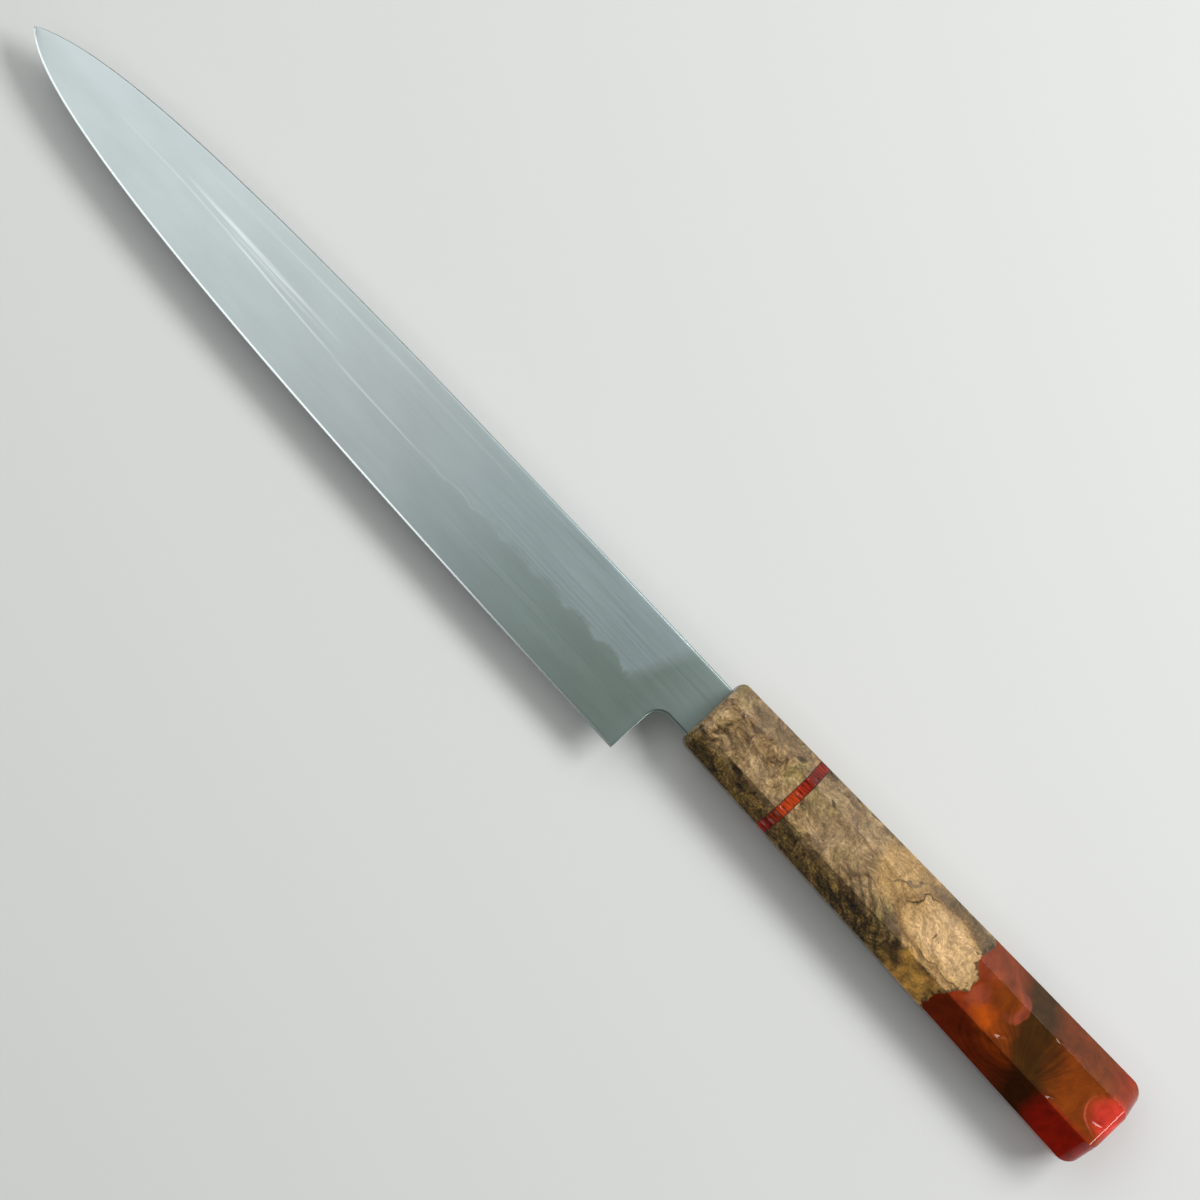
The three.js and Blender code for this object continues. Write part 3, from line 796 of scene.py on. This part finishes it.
def stone_polished_steel(colours):
    """Carbon steel, polished on stones: satin metal with fine scratches along the blade, a misty line
    where the hardened steel below meets the softer steel above, a bright cutting bevel, and painted
    shade that makes the steel colder towards the handle.

    Places along the blade are in millimetres from the handle's front.
    """
    material, tree, shader, place = new_material("carbon_steel_stone_polished")
    marks = ("above_edge", "below_spine", "above_line")
    above_edge, below_spine, above_line = [
        add(tree, "Attribute", output="Fac", attribute_name=mark) for mark in marks
    ]
    along = add(tree, "SeparateXYZ", {0: place}, output="X")

    # Polishing scratches, really about 0.05 mm wide, drawn 0.4 mm wide so that they show
    scratches = drawn_out(tree, place, (30, 0.4, 0.4), 4.0, 0.6)
    # Clouds left by the stones, about 20 mm long and 6 mm wide
    clouds = drawn_out(tree, place, (20, 6, 6), 3.0)

    # Hardened steel: clear by the heel, gone by the middle of the blade. Its misty edge is about 1 mm
    # wide, softer towards the tip and smoother over the neck.
    mist = add(tree, "TexNoise", {"Vector": place, "Scale": 1 / 1.5, "Detail": 4.0, "Roughness": 0.7})
    ragged = add(tree, "MapRange", {0: mist, 3: -1.3, 4: 1.3})
    ragged_here = add(tree, "MapRange", {0: along, 1: -24.0, 2: -20.0, 3: 1.0, 4: 0.2})
    line = add(tree, "Math", {0: ragged, 1: ragged_here, 2: above_line}, operation="MULTIPLY_ADD")
    soft = add(tree, "MapRange", {0: along, 1: -78.0, 2: -38.0, 3: 2.2, 4: 0.75})
    soft_below = add(tree, "Math", {0: soft, 1: -1.0}, operation="MULTIPLY")
    hardened = add(tree, "MapRange", {0: line, 1: soft, 2: soft_below}, **SMOOTH)
    by_heel = add(tree, "MapRange", {0: along, 1: -112.0, 2: -18.0}, **SMOOTH)
    on_neck = add(tree, "MapRange", {0: along, 1: -16.0, 2: -6.0, 3: 1.0, 4: 0.75})
    for part in (by_heel, on_neck):
        hardened = add(tree, "Math", {0: hardened, 1: part}, operation="MULTIPLY")
    tone = add(tree, "Mix", {0: hardened, 6: colours.steel, 7: colours.hardened}, **PAINT)
    # Painted shade: a colder tone towards the handle, where the steel reflects less light
    handle_shade = add(tree, "MapRange", {0: along, 1: -115.0, 2: -60.0}, **SMOOTH)
    links = {0: handle_shade, 6: tone, 7: colours.steel_heel_shade}
    tone = add(tree, "Mix", links, **PAINT, blend_type="MULTIPLY")

    # Bright streaks, broken by the scratches: one along the hardening line towards the tip, one 4 mm
    # under the spine, and two between them
    on_line = near(tree, above_line, 0.0, 0.45, 0.1)
    line_end = patch(tree, place, (-145, -7, 0), (78, 60, 60))
    streaks = add(tree, "Math", {0: on_line, 1: line_end}, operation="MULTIPLY")
    under_spine = near(tree, below_spine, 4.0, 0.7, 0.05, 0.4)
    spine_end = patch(tree, place, (-130, 0, 0), (75, 60, 60))
    streaks = add(tree, "Math", {0: under_spine, 1: spine_end, 2: streaks}, operation="MULTIPLY_ADD")
    for centre, reach, turn, full, most in (
        ((-166, -4.4, 0), (32, 0.8, 40), -0.8, 0.6, 1.0),
        ((-158, -5.9, 0), (26, 0.6, 40), -1.2, 0.8, 0.6),
    ):
        streak = patch(tree, place, centre, reach, turn)
        streak = add(tree, "MapRange", {0: streak, 2: full, 4: most})
        streaks = add(tree, "Math", {0: streaks, 1: streak}, operation="ADD")
    broken = add(tree, "MapRange", {0: scratches, 1: 0.35, 2: 0.6, 3: 0.1, 4: 1.0})
    streaks = add(tree, "Math", {0: streaks, 1: broken}, operation="MULTIPLY", use_clamp=True)
    tone = add(tree, "Mix", {0: streaks, 6: tone, 7: colours.polished}, **PAINT)

    tone = shade(tree, tone, scratches, 0.3, 0.7, 0.97, 1.025)
    tone = shade(tree, tone, clouds, 0.3, 0.7, 0.96, 1.035)
    haze = add(tree, "MapRange", {0: scratches, 1: 0.3, 2: 0.7, 3: 0.3, 4: 0.36})
    haze = add(tree, "Math", {0: hardened, 1: 0.05, 2: haze}, operation="MULTIPLY_ADD")
    # The cutting bevel is 0.6 mm high
    bevel = add(tree, "MapRange", {0: above_edge, 1: 0.6, 2: 0.54}, **SMOOTH)
    tone = add(tree, "Mix", {0: bevel, 6: tone, 7: colours.polished}, **PAINT)
    haze = add(tree, "Mix", {0: bevel, 2: haze, 3: 0.18}, data_type="FLOAT")
    relief = add(tree, "Bump", {"Height": scratches, "Strength": 0.1, "Distance": 0.02 * MM})
    looks = {"Base Color": tone, "Roughness": haze, "Normal": relief, "Metallic": 1.0}
    connect(tree, shader.inputs, looks)
    return material


def stabilised_burl(colours):
    """Burl soaked with resin, sanded and buffed: swirling flakes of brown figure with dark rims, painted
    relief shade and fine fibres, pale sapwood with dark outlines by the live edge, painted shade towards
    the edge and on the side of the spine, and gloss."""
    material, tree, shader, place = new_material("stabilised_burl_buffed")
    dark, brown, tan = colours.burl_dark, colours.burl_brown, colours.burl_tan
    grey, plain, sap = colours.burl_grey, colours.burl_plain, colours.burl_sap
    to_seam = add(tree, "Attribute", output="Fac", attribute_name="to_seam")
    across = add(tree, "SeparateXYZ", {0: place}, output="Y")
    # The figure swirls at two sizes, 16 mm and 4 mm
    loose = swirl(tree, place, 16.0, 13.0)
    curled = swirl(tree, loose, 4.0, 3.0)
    lean = math.radians(37)
    # Flakes about 5.5 mm long and 2.8 mm wide, each of its own tone
    links = {0: curled, "Rotation": (0, 0, lean), "Scale": (1 / 5.5, 1 / 2.8, 1 / 2.8)}
    links = {"Vector": add(tree, "Mapping", links), "Scale": 1.0, "Smoothness": 0.3}
    flakes = add(tree, "TexVoronoi", links, output="Color", feature="SMOOTH_F1")
    flakes = add(tree, "SeparateColor", {0: flakes})
    # Painted relief shade: each wisp of the figure is painted light on one side and dark on the other,
    # 0.5 mm apart, as if lit from one side
    beside = add(tree, "VectorMath", {0: curled, 1: (0.3, 0.4, 0.1)}, operation="ADD")
    grain = {"Scale": 1 / 3.5, "Detail": 6.0, "Roughness": 0.6}
    figure, shifted = [add(tree, "TexNoise", {"Vector": way, **grain}) for way in (curled, beside)]
    painted_wisp_shade = add(tree, "Math", {0: figure, 1: shifted}, operation="SUBTRACT")
    mixed = add(tree, "Math", {0: flakes, 1: 0.4, 2: figure}, operation="MULTIPLY_ADD")
    stops = ((0.43, dark), (0.92, colours.burl_light), (0.58, brown), (0.75, tan))
    tone = add(tree, "ValToRGB", {0: mixed}, stops=stops)
    # Specks about 0.7 mm across
    specks = add(tree, "TexNoise", {"Vector": place, "Scale": 1 / 0.7, "Detail": 2.0, "Roughness": 0.6})
    # Clouds about 10 mm across
    cloud = add(tree, "TexNoise", {"Vector": loose, "Scale": 1 / 8, "Detail": 3.0})
    tone = tint(tree, tone, colours.burl_olive, cloud, 0.53, 0.64, 0.5)
    tone = tint(tree, tone, grey, cloud, 0.46, 0.36, 0.5)
    drifted = swirl(tree, swirl(tree, swirl(tree, place, 10.0, 8.0), 3.0, 2.6), 1.2, 0.7)
    # Streaks that run aslant over the grip, about 2.6 mm apart; a band's wave is 0.314 of its scale
    aslant = add(tree, "Mapping", {0: swirl(tree, place, 8.0, 3.0), "Rotation": (0, 0, lean)})
    links = {0: aslant, "Scale": 0.314 / 2.6, "Distortion": 3.0, "Detail": 3.0, "Detail Scale": 0.4}
    bands = add(tree, "TexWave", links, output="Fac", bands_direction="Y")
    bands = add(tree, "MapRange", {0: bands, 1: 0.55, 2: 0.98}, **SMOOTH)
    middle = patch(tree, place, (61.5, -3, 9), (16, 10, 14))
    edge_side = patch(tree, place, (66, -10, 7), (24, 7, 10))
    middle = add(tree, "Math", {0: middle, 1: edge_side}, operation="MAXIMUM")
    for part in (middle, figure):
        bands = add(tree, "Math", {0: bands, 1: part}, operation="MULTIPLY")
    tone = tint(tree, tone, dark, bands, 0.03, 0.25, 0.6)
    # Layers about 2 mm apart, each dark at one side
    layers = layered(tree, curled, 9.0, 1.5, 14.0)
    tone = shade(tree, tone, layers, 0.0, 0.6, 0.78, 1.06)
    tone = spot(tree, tone, plain, drifted, (46, 4, 9), (17, 13, 13), 0.5, 0.42)
    # Painted relief shade of the wisps
    tone = shade(tree, tone, painted_wisp_shade, -0.07, 0.07, 0.72, 1.27)
    # Painted shade: darker towards the cutting edge, where the facets face away from the light,
    # with its own light and dark flakes
    heart = add(tree, "MapRange", {0: across, 1: -4.5, 2: -8.0})
    edge_shade_tone = shade(tree, colours.burl_edge_shade, mixed, 0.44, 0.93, 0.6, 1.3)
    edge_shade_tone = shade(tree, edge_shade_tone, specks, 0.35, 0.65, 0.55, 1.5)
    tone = add(tree, "Mix", {0: heart, 6: tone, 7: edge_shade_tone}, **PAINT, blend_type="MULTIPLY")

    # Sapwood: a tan cloud and a pale island, with thin dark outlines that come and go; grey and brown
    # wood lies above and below the island. A cloud whose outline is set below 0 has none.
    upper_left = patch(tree, place, (74.5, 5, 10), (9, 6, 12))
    lower_right = patch(tree, place, (88, -3.5, 10), (10, 4, 10))
    broken = add(tree, "Math", {0: upper_left, 1: lower_right}, operation="ADD")
    broken = add(tree, "MapRange", {0: broken, 1: 0.05, 2: 0.5, 3: 0.06, 4: 0.95})
    for centre, reach, soft, line_at, outer, halfway, inner in (
        ((68, 8, 9), (18, 12, 13), 0.4, -1.0, tan, sap, sap),
        ((85, 10.5, 8), (17, 5, 8), 0.4, 0.3, grey, grey, brown),
        ((83, -3.6, 10), (19, 4, 7), 0.3, 0.3, grey, grey, plain),
        ((86, -5.2, 11), (15, 2.2, 6), 0.3, 0.2, colours.burl_rim, sap, sap),
        ((84, 2.4, 11), (20, 10, 14), 0.3, 0.31, colours.burl_rim, sap, colours.burl_pale),
    ):
        cloud = patch(tree, drifted, centre, reach)
        stops = ((0.22, outer), (0.6, inner), (0.36, halfway))
        sapwood = add(tree, "ValToRGB", {0: cloud}, stops=stops)
        sapwood = shade(tree, sapwood, figure, 0.35, 0.65, 0.79, 1.13)
        sapwood = shade(tree, sapwood, layers, 0.0, 0.4, 0.84, 1.02)
        # Painted relief shade of the wisps on the sapwood
        sapwood = shade(tree, sapwood, painted_wisp_shade, -0.07, 0.07, 0.78, 1.18)
        tone = tint(tree, tone, sapwood, cloud, 0.08, soft)
        dark_line = near(tree, cloud, line_at, 0.03, 0.004)
        dark_line = add(tree, "Math", {0: dark_line, 1: broken}, operation="MULTIPLY")
        tone = tint(tree, tone, dark, dark_line, 0.0, 1.0, 0.9)
    # A fold in the tan cloud
    fold = patch(tree, drifted, (67.5, 7.5, 10), (8, 0.5, 8), 22)
    tone = tint(tree, tone, grey, fold, 0.0, 0.6, 0.85)
    # Painted shade: a little darker on the side of the spine; and greyer at the front on that side,
    # partly the wood's own colour and partly painted shade
    tone = shade(tree, tone, across, 5.5, 8.5, 1.0, 0.78)
    tone = spot(tree, tone, grey, drifted, (13, 9.5, 7), (19, 6, 9), 0.6, 0.4)
    # Resin-soaked wood below the sapwood, with a dark bound in front of it
    amber = shade(tree, colours.burl_amber, figure, 0.35, 0.65, 0.34, 1.2)
    tone = spot(tree, tone, amber, drifted, (86.5, -11, 6), (15, 8, 10), 0.4, 0.9)
    tone = spot(tree, tone, dark, drifted, (77.5, -9.5, 7.5), (10, 2.4, 9), 0.7, 0.8, -45)
    # A dark pit near the spacer, and bark pits along the live edge
    tone = spot(tree, tone, dark, place, (38.7, 6.0, 10), (2.0, 0.8, 2.5), 0.6, 0.9, -25)
    pits = add(tree, "TexNoise", {"Vector": place, "Scale": 1 / 1.8, "Detail": 3.0})
    bark = add(tree, "Math", {0: pits, 1: -7.0, 2: to_seam}, operation="MULTIPLY_ADD")
    tone = tint(tree, tone, dark, bark, -2.4, -3.6, 0.85)

    # Fibres about 0.4 mm wide and 4 mm long that follow the figure
    fibres = drawn_out(tree, curled, (4, 0.4, 0.4), 2.0, 0.6, lean)
    tone = shade(tree, tone, fibres, 0.3, 0.7, 0.79, 1.18)
    tone = shade(tree, tone, specks, 0.32, 0.68, 0.84, 1.14)
    # Open pores in the middle of the island
    in_island = patch(tree, place, (82, 1.5, 11), (5, 4, 6))
    pores = add(tree, "Math", {0: specks, 1: in_island}, operation="MULTIPLY")
    tone = tint(tree, tone, dark, pores, 0.38, 0.47, 0.75)
    gloss = add(tree, "MapRange", {0: specks, 1: 0.3, 2: 0.7, 3: 0.2, 4: 0.3})
    relief = add(tree, "Bump", {"Height": specks, "Strength": 0.2, "Distance": 0.04 * MM})
    # Pores filled with finish, about 0.7 mm across
    filled = (
        ((5.6, 5.2, 9.6), (0.8, 0.6, 2), 0),
        ((7.0, 5.2, 9.6), (0.8, 0.6, 2), 0),
        ((43.6, -2.9, 10.1), (0.6, 0.5, 2), 0),
        ((55.4, 3.8, 10.3), (0.7, 0.5, 2), 0),
    )
    relief = dented(tree, place, relief, filled, 0.4)
    connect(tree, shader.inputs, {"Base Color": tone, "Roughness": gloss, "Normal": relief})
    return material


def cast_acrylic(colours):
    """Cast acrylic, sanded along the knife and buffed: clear deep red with fine light and dark bands that
    glint, a painted orange glow where light would come through, painted shade on the side of the spine,
    and a dark glue line at both sides."""
    material, tree, shader, place = new_material("cast_acrylic_buffed")
    along, across = [add(tree, "SeparateXYZ", {0: place}, output=axis) for axis in "XY"]
    # Bands that run along the knife, really about 0.2 mm wide, drawn 0.5 mm wide so that they show
    bands = drawn_out(tree, place, (6, 0.5, 0.5), 3.0, 0.7)
    stops = ((0.34, colours.acrylic_deep), (0.66, colours.acrylic))
    tone = add(tree, "ValToRGB", {0: bands}, stops=stops)
    # Painted glow: brighter orange where light would come through the spacer
    tone = spot(tree, tone, colours.acrylic_painted_glow, place, (30.6, -3.0, 9), (9, 7, 7), 0.6, 0.6)
    # Painted shade: darker on the side of the spine
    tone = shade(tree, tone, across, 4.0, 7.0, 1.0, 0.68)
    tone = shade(tree, tone, bands, 0.38, 0.62, 0.25, 1.5)
    # Glue lines, really thinner, drawn 0.4 mm wide so that they show
    middle = (SPACER_X + BODY_X) / 2 / MM
    half = (BODY_X - SPACER_X) / 2 / MM
    side = add(tree, "Math", {0: along, 1: middle}, operation="SUBTRACT")
    side = add(tree, "Math", {0: side}, operation="ABSOLUTE")
    tone = tint(tree, tone, colours.epoxy, side, half - 0.45, half - 0.1, 0.8)
    gloss = add(tree, "MapRange", {0: bands, 1: 0.3, 2: 0.7, 3: 0.08, 4: 0.18})
    relief = add(tree, "Bump", {"Height": bands, "Strength": 1.0, "Distance": 0.06 * MM})
    # Nicks about 1 mm long, at the facets' edges and on the upper facet
    nicks = (
        ((30.8, 1.2, 10), (1.0, 0.7, 2), 0),
        ((30.5, -4.4, 10), (1.1, 0.55, 2), 0),
        ((30.6, -6.6, 9.1), (1.1, 0.6, 2), 0),
        ((31.0, -9.0, 7.0), (1.2, 0.8, 2), 10),
        ((30.2, -10.9, 5.2), (1.2, 0.7, 2), -8),
        ((31.2, 7.4, 9.0), (1.1, 0.6, 2), 0),
    )
    relief = dented(tree, place, relief, nicks, 0.5)
    looks = {"Base Color": tone, "Roughness": gloss, "Normal": relief, "Specular IOR Level": 0.4}
    connect(tree, shader.inputs, looks)
    return material


def swirled_resin(colours, handle):
    """Casting resin, poured in colours that swirl, turned and buffed: glassy red, orange and olive folds
    with feathery streaks, darker towards the cutting edge partly as painted shade, painted shade on the
    side of the spine, a painted glow at the butt's rim, a painted red reflection with a pink highlight at
    the end, and small dents that glint."""
    material, tree, shader, place = new_material("casting_resin_swirled")
    brown, olive, dark = colours.resin_brown, colours.resin_olive, colours.resin_dark
    umber, deep, haze = colours.resin_umber, colours.resin_deep, colours.resin_haze
    across = add(tree, "SeparateXYZ", {0: place}, output="Y")
    loose = swirl(tree, place, 18.0, 10.0)
    folded = swirl(tree, loose, 6.0, 4.0)
    # The pours lie aslant across the knife
    slant = math.radians(-26)
    aslant = add(tree, "Mapping", {0: folded, "Rotation": (0, 0, slant)})
    along = add(tree, "SeparateXYZ", {0: aslant}, output="X")
    ends = [x / MM * math.cos(slant) for x in (handle.seam_x, HANDLE_LENGTH)]
    share_back = add(tree, "MapRange", {0: along, 1: ends[0], 2: ends[1]})
    # The last upper pour is a painted glow at the butt's rim, where light would pass through the resin
    upper_pours = (
        (0.0, colours.resin_red),
        (1.0, colours.resin_rim_glow),
        (0.2, brown),
        (0.3, brown),
        (0.37, olive),
        (0.5, olive),
        (0.62, brown),
        (0.86, brown),
    )
    # Darker pours towards the cutting edge: partly the resin's own colour, partly painted shade
    edge_pours = ((0.0, umber), (1.0, deep), (0.3, umber), (0.42, dark), (0.5, dark), (0.6, deep))
    tone, edge_tone = [
        add(tree, "ValToRGB", {0: share_back}, stops=pours) for pours in (upper_pours, edge_pours)
    ]
    tone = tint(tree, tone, edge_tone, across, -4.8, -7.5, 0.92)
    # Veils and clouds: two smoky veils by the wood, an orange cloud, a pink crescent, and a painted
    # red reflection at the end with a painted pink highlight along its rim
    tone = spot(tree, tone, haze, folded, (98, 9, 8), (12, 9, 12), 0.6, 0.5)
    tone = spot(tree, tone, haze, folded, (99.5, -0.5, 11), (5, 5, 7), 0.6, 0.8)
    tone = spot(tree, tone, colours.resin_orange, folded, (105, -2.8, 11), (8, 6, 8), 0.75, 0.85)
    ring = patch(tree, swirl(tree, place, 5.0, 3.0), (106.5, 4.0, 11), (8.5, 7, 9))
    crescent = add(tree, "MapRange", {0: ring, 1: 0.16, 2: 0.26}, **SMOOTH)
    inner = add(tree, "MapRange", {0: ring, 1: 0.75, 2: 0.3}, **SMOOTH)
    right = patch(tree, place, (112, 6, 11), (8, 9, 12))
    for part in (inner, right):
        crescent = add(tree, "Math", {0: crescent, 1: part}, operation="MULTIPLY")
    tone = tint(tree, tone, haze, crescent, 0.05, 0.5, 0.9)
    # Painted reflection at the end, and a painted pink highlight along its lower left rim
    lens = patch(tree, swirl(tree, place, 6.0, 1.5), (148.5, 2.0, 12), (11, 8, 8))
    tone = tint(tree, tone, colours.resin_lens_reflection, lens, 0.1, 0.6, 0.95)
    lens_rim_highlight = near(tree, lens, 0.19, 0.05, 0.01)
    lower_left = patch(tree, place, (141, -3, 12), (9, 9, 9))
    lens_rim_highlight = add(tree, "Math", {0: lens_rim_highlight, 1: lower_left}, operation="MULTIPLY")
    tone = tint(tree, tone, colours.resin_pink_highlight, lens_rim_highlight, 0.0, 1.0, 0.5)
    # Streaks that fan out from a place by the edge, about 5 degrees apart
    hub = add(tree, "Mapping", {0: loose, "Location": (123.5, -9, 11)}, vector_type="TEXTURE")
    fan = add(tree, "TexGradient", {0: hub}, output=1, gradient_type="RADIAL")
    fan = add(tree, "Math", {0: fan, 1: 90.0}, operation="MULTIPLY")
    streaks = add(tree, "TexNoise", {"W": fan, "Scale": 0.8, "Detail": 2.0}, noise_dimensions="1D")
    near_hub = patch(tree, place, (120, 0, 10), (22, 15, 16))
    streaks = add(tree, "Math", {0: streaks, 1: near_hub}, operation="MULTIPLY")
    tone = tint(tree, tone, dark, streaks, 0.12, 0.5, 0.55)
    # A nest of folds on the side of the edge, about 2 mm apart
    nest = patch(tree, swirl(tree, place, 6.0, 3.0), (112.5, -4.5, 10), (14, 9, 14))
    below = add(tree, "MapRange", {0: across, 1: -5.4, 2: -7.4})
    lit = add(tree, "Math", {0: nest, 1: below}, operation="MULTIPLY")
    tone = tint(tree, tone, colours.resin_orange, lit, 0.3, 0.7, 0.45)
    nest = add(tree, "Math", {0: nest, 1: 38.0}, operation="MULTIPLY")
    nest = add(tree, "Math", {0: nest}, operation="SINE")
    nest = add(tree, "Math", {0: nest, 1: below}, operation="MULTIPLY")
    tone = shade(tree, tone, nest, -1.0, 1.0, 0.88, 1.12)
    # Fold lines about 3 mm apart, and veils about 4 mm wide
    folds = layered(tree, loose, 16.0, 1.0, 16.0)
    tone = shade(tree, tone, folds, 0.0, 0.5, 0.92, 1.03)
    veil = add(tree, "TexNoise", {"Vector": folded, "Scale": 1 / 4, "Detail": 5.0, "Roughness": 0.55})
    tone = shade(tree, tone, veil, 0.3, 0.7, 0.72, 1.25)
    # Painted shade: darker on the side of the spine
    tone = shade(tree, tone, across, 5.5, 8.5, 1.0, 0.72)
    # Buffing leaves waves about 8 mm long and dents 1 to 2 mm long
    waves = add(tree, "TexNoise", {"Vector": place, "Scale": 1 / 8, "Detail": 1.0})
    relief = add(tree, "Bump", {"Height": waves, "Strength": 1.0, "Distance": 0.12 * MM})
    dents = (
        ((111.5, -3.7, 11.2), (2.2, 1.1, 2), 28),
        ((123.1, 6.4, 11), (1.4, 0.6, 2), 5),
        ((131.6, -5.2, 11.4), (1.6, 0.9, 2), 32),
        ((145.2, -1.0, 11.5), (2.4, 0.8, 2), 18),
    )
    relief = dented(tree, place, relief, dents)
    looks = {"Base Color": tone, "Roughness": 0.09, "Normal": relief, "Specular IOR Level": 0.25}
    connect(tree, shader.inputs, looks)
    return material


def turned_hardwood(colours):
    """Light hardwood, turned and left unfinished: fine rings on the end grain, dull."""
    material, tree, shader, place = new_material("hardwood_turned")
    # Year rings about 1.2 mm apart, round a heart beside the dowel; a ring's wave is 0.314 of its scale
    links = {0: place, "Location": (0, -9, 4), "Scale": (30, 1, 1)}
    heart = add(tree, "Mapping", links, vector_type="TEXTURE")
    links = {0: heart, "Scale": 0.314 / 1.2, "Distortion": 1.5, "Detail": 2.0}
    rings = add(tree, "TexWave", links, output="Fac", wave_type="RINGS", rings_direction="X")
    tone = shade(tree, colours.hardwood, rings, 0.2, 0.8, 0.7, 1.0)
    connect(tree, shader.inputs, {"Base Color": tone, "Roughness": 0.62})
    return material


def cured_epoxy(colours):
    """Dark epoxy that cured in its slot: smooth and half glossy, with faint clouds."""
    material, tree, shader, place = new_material("epoxy_cured")
    # Clouds about 1.5 mm across
    clouds = add(tree, "TexNoise", {"Vector": place, "Scale": 1 / 1.5, "Detail": 2.0})
    tone = shade(tree, colours.epoxy, clouds, 0.35, 0.7, 0.8, 1.4)
    connect(tree, shader.inputs, {"Base Color": tone, "Roughness": 0.35})
    return material


def matt_board(settings):
    """Painted board, matt, so that it shows soft shadows and nothing else."""
    material, tree, shader, _ = new_material("board_painted_matt")
    looks = {"Base Color": settings.floor, "Roughness": 0.9, "Specular IOR Level": 0.2}
    connect(tree, shader.inputs, looks)
    return material


# Stage


def softbox(context, name, at, toward, size, glow):
    """A rectangular lamp at one place that faces another, in metres from the handle's front.

    Its glow is what a mirror shows of it, 1 being white.
    """
    lamp = bpy.data.lights.new(name, "AREA")
    lamp.shape = "RECTANGLE"
    lamp.size, lamp.size_y = size
    lamp.energy = math.pi * size[0] * size[1] * glow
    holder = bpy.data.objects.new(name, lamp)
    holder.location = Vector(at) + Vector(FRONT)
    holder.rotation_euler = (Vector(toward) - Vector(at)).to_track_quat("-Z", "Y").to_euler()
    context.scene.collection.objects.link(holder)


def dome():
    """A grey studio: dim at the horizon, brighter overhead and on the side of the spine."""
    world = bpy.data.worlds.new("studio")
    world.use_nodes = True
    tree = world.node_tree
    away = add(tree, "TexCoord", output="Generated")
    lean = add(tree, "VectorMath", {0: away, 1: (0.0, 0.7, 0.7)}, output="Value", operation="DOT_PRODUCT")
    glow = add(tree, "MapRange", {0: lean, 1: -0.3, 2: 0.9, 3: 0.06, 4: 0.3})
    background = tree.nodes["Background"]
    background.inputs["Color"].default_value = (0.97, 1.0, 1.0, 1.0)
    tree.links.new(glow, background.inputs["Strength"])
    return world


class KNIFE_OT_stage(bpy.types.Operator):
    """Makes the floor, the soft light and the camera"""

    bl_idname = "knife.stage"
    bl_label = "Stage"

    def execute(self, context):
        scene = context.scene
        settings = scene.knife_stage
        reach = 4.0
        below_knife = (0, 0, 0.05 * MM)
        corners = np.array([(-1, -1, 0), (1, -1, 0), (1, 1, 0), (-1, 1, 0)]) * reach - below_knife
        mesh = bpy.data.meshes.new("floor")
        mesh.from_pydata(corners.tolist(), [], [(0, 1, 2, 3)])
        mesh.materials.append(matt_board(settings))
        floor = bpy.data.objects.new("floor", mesh)
        scene.collection.objects.link(floor)

        scene.world = dome()
        # Over the front half of the blade, so that the steel darkens from the tip to the heel
        softbox(context, "overhead", (-0.78, 0.4, 0.95), (-0.78, 0.4, 0), (1.15, 1.25), 1.2)
        # From the side of the spine, so that the facets on the side of the edge lie in shade
        softbox(context, "key", (0.4, 0.68, 0.9), (0.05, 0, 0), (0.7, 0.4), 11.8)
        # Where the cutting bevel looks
        softbox(context, "bevel_strip", (-0.65, -0.38, 0.9), (-0.65, -0.38, 0), (1.1, 0.2), 1.3)
        # Where the rounded butt looks
        softbox(context, "butt_strip", (1.15, 0.02, 0.3), (0.15, 0, 0), (0.5, 0.12), 16)

        lens = bpy.data.cameras.new("camera")
        lens.lens = settings.lens
        lens.sensor_width = 36
        camera = bpy.data.objects.new("camera", lens)
        turn = Matrix.Rotation(settings.tilt, 4, "X") @ Matrix.Rotation(settings.roll, 4, "Z")
        aim = Matrix.Translation(Vector(FRONT) + Vector((settings.aim_x, settings.aim_y, 0)))
        camera.matrix_world = aim @ turn @ Matrix.Translation((0, 0, settings.distance))
        scene.collection.objects.link(camera)
        scene.camera = camera
        scene.view_settings.view_transform = "Standard"
        return {"FINISHED"}


class KNIFE_PT_pieces(bpy.types.Panel):
    """Lists the operators that make the knife's pieces and its stage"""

    bl_idname = "KNIFE_PT_pieces"
    bl_label = "Slicing knife"
    bl_space_type = "VIEW_3D"
    bl_region_type = "UI"
    bl_category = "Knife"

    def draw(self, context):
        for operator in OPERATORS:
            self.layout.operator(operator.bl_idname)


GROUPS = {
    "knife_blade": BladeSizes,
    "knife_handle": HandleSizes,
    "knife_colours": KnifeColours,
    "knife_stage": StageSettings,
}
OPERATORS = (
    KNIFE_OT_stage,
    KNIFE_OT_blade,
    KNIFE_OT_burl,
    KNIFE_OT_spacer,
    KNIFE_OT_resin,
    KNIFE_OT_core,
)


def register():
    for name, group in GROUPS.items():
        bpy.utils.register_class(group)
        setattr(bpy.types.Scene, name, bpy.props.PointerProperty(type=group))
    for cls in (*OPERATORS, KNIFE_PT_pieces):
        bpy.utils.register_class(cls)


def unregister():
    for cls in reversed((*OPERATORS, KNIFE_PT_pieces)):
        bpy.utils.unregister_class(cls)
    for name, group in reversed(GROUPS.items()):
        delattr(bpy.types.Scene, name)
        bpy.utils.unregister_class(group)


def main():
    register()
    bpy.ops.knife.stage()
    bpy.ops.knife.blade()
    bpy.ops.knife.burl()
    bpy.ops.knife.spacer()
    bpy.ops.knife.resin()
    bpy.ops.knife.core()


if __name__ == "__main__":
    main()
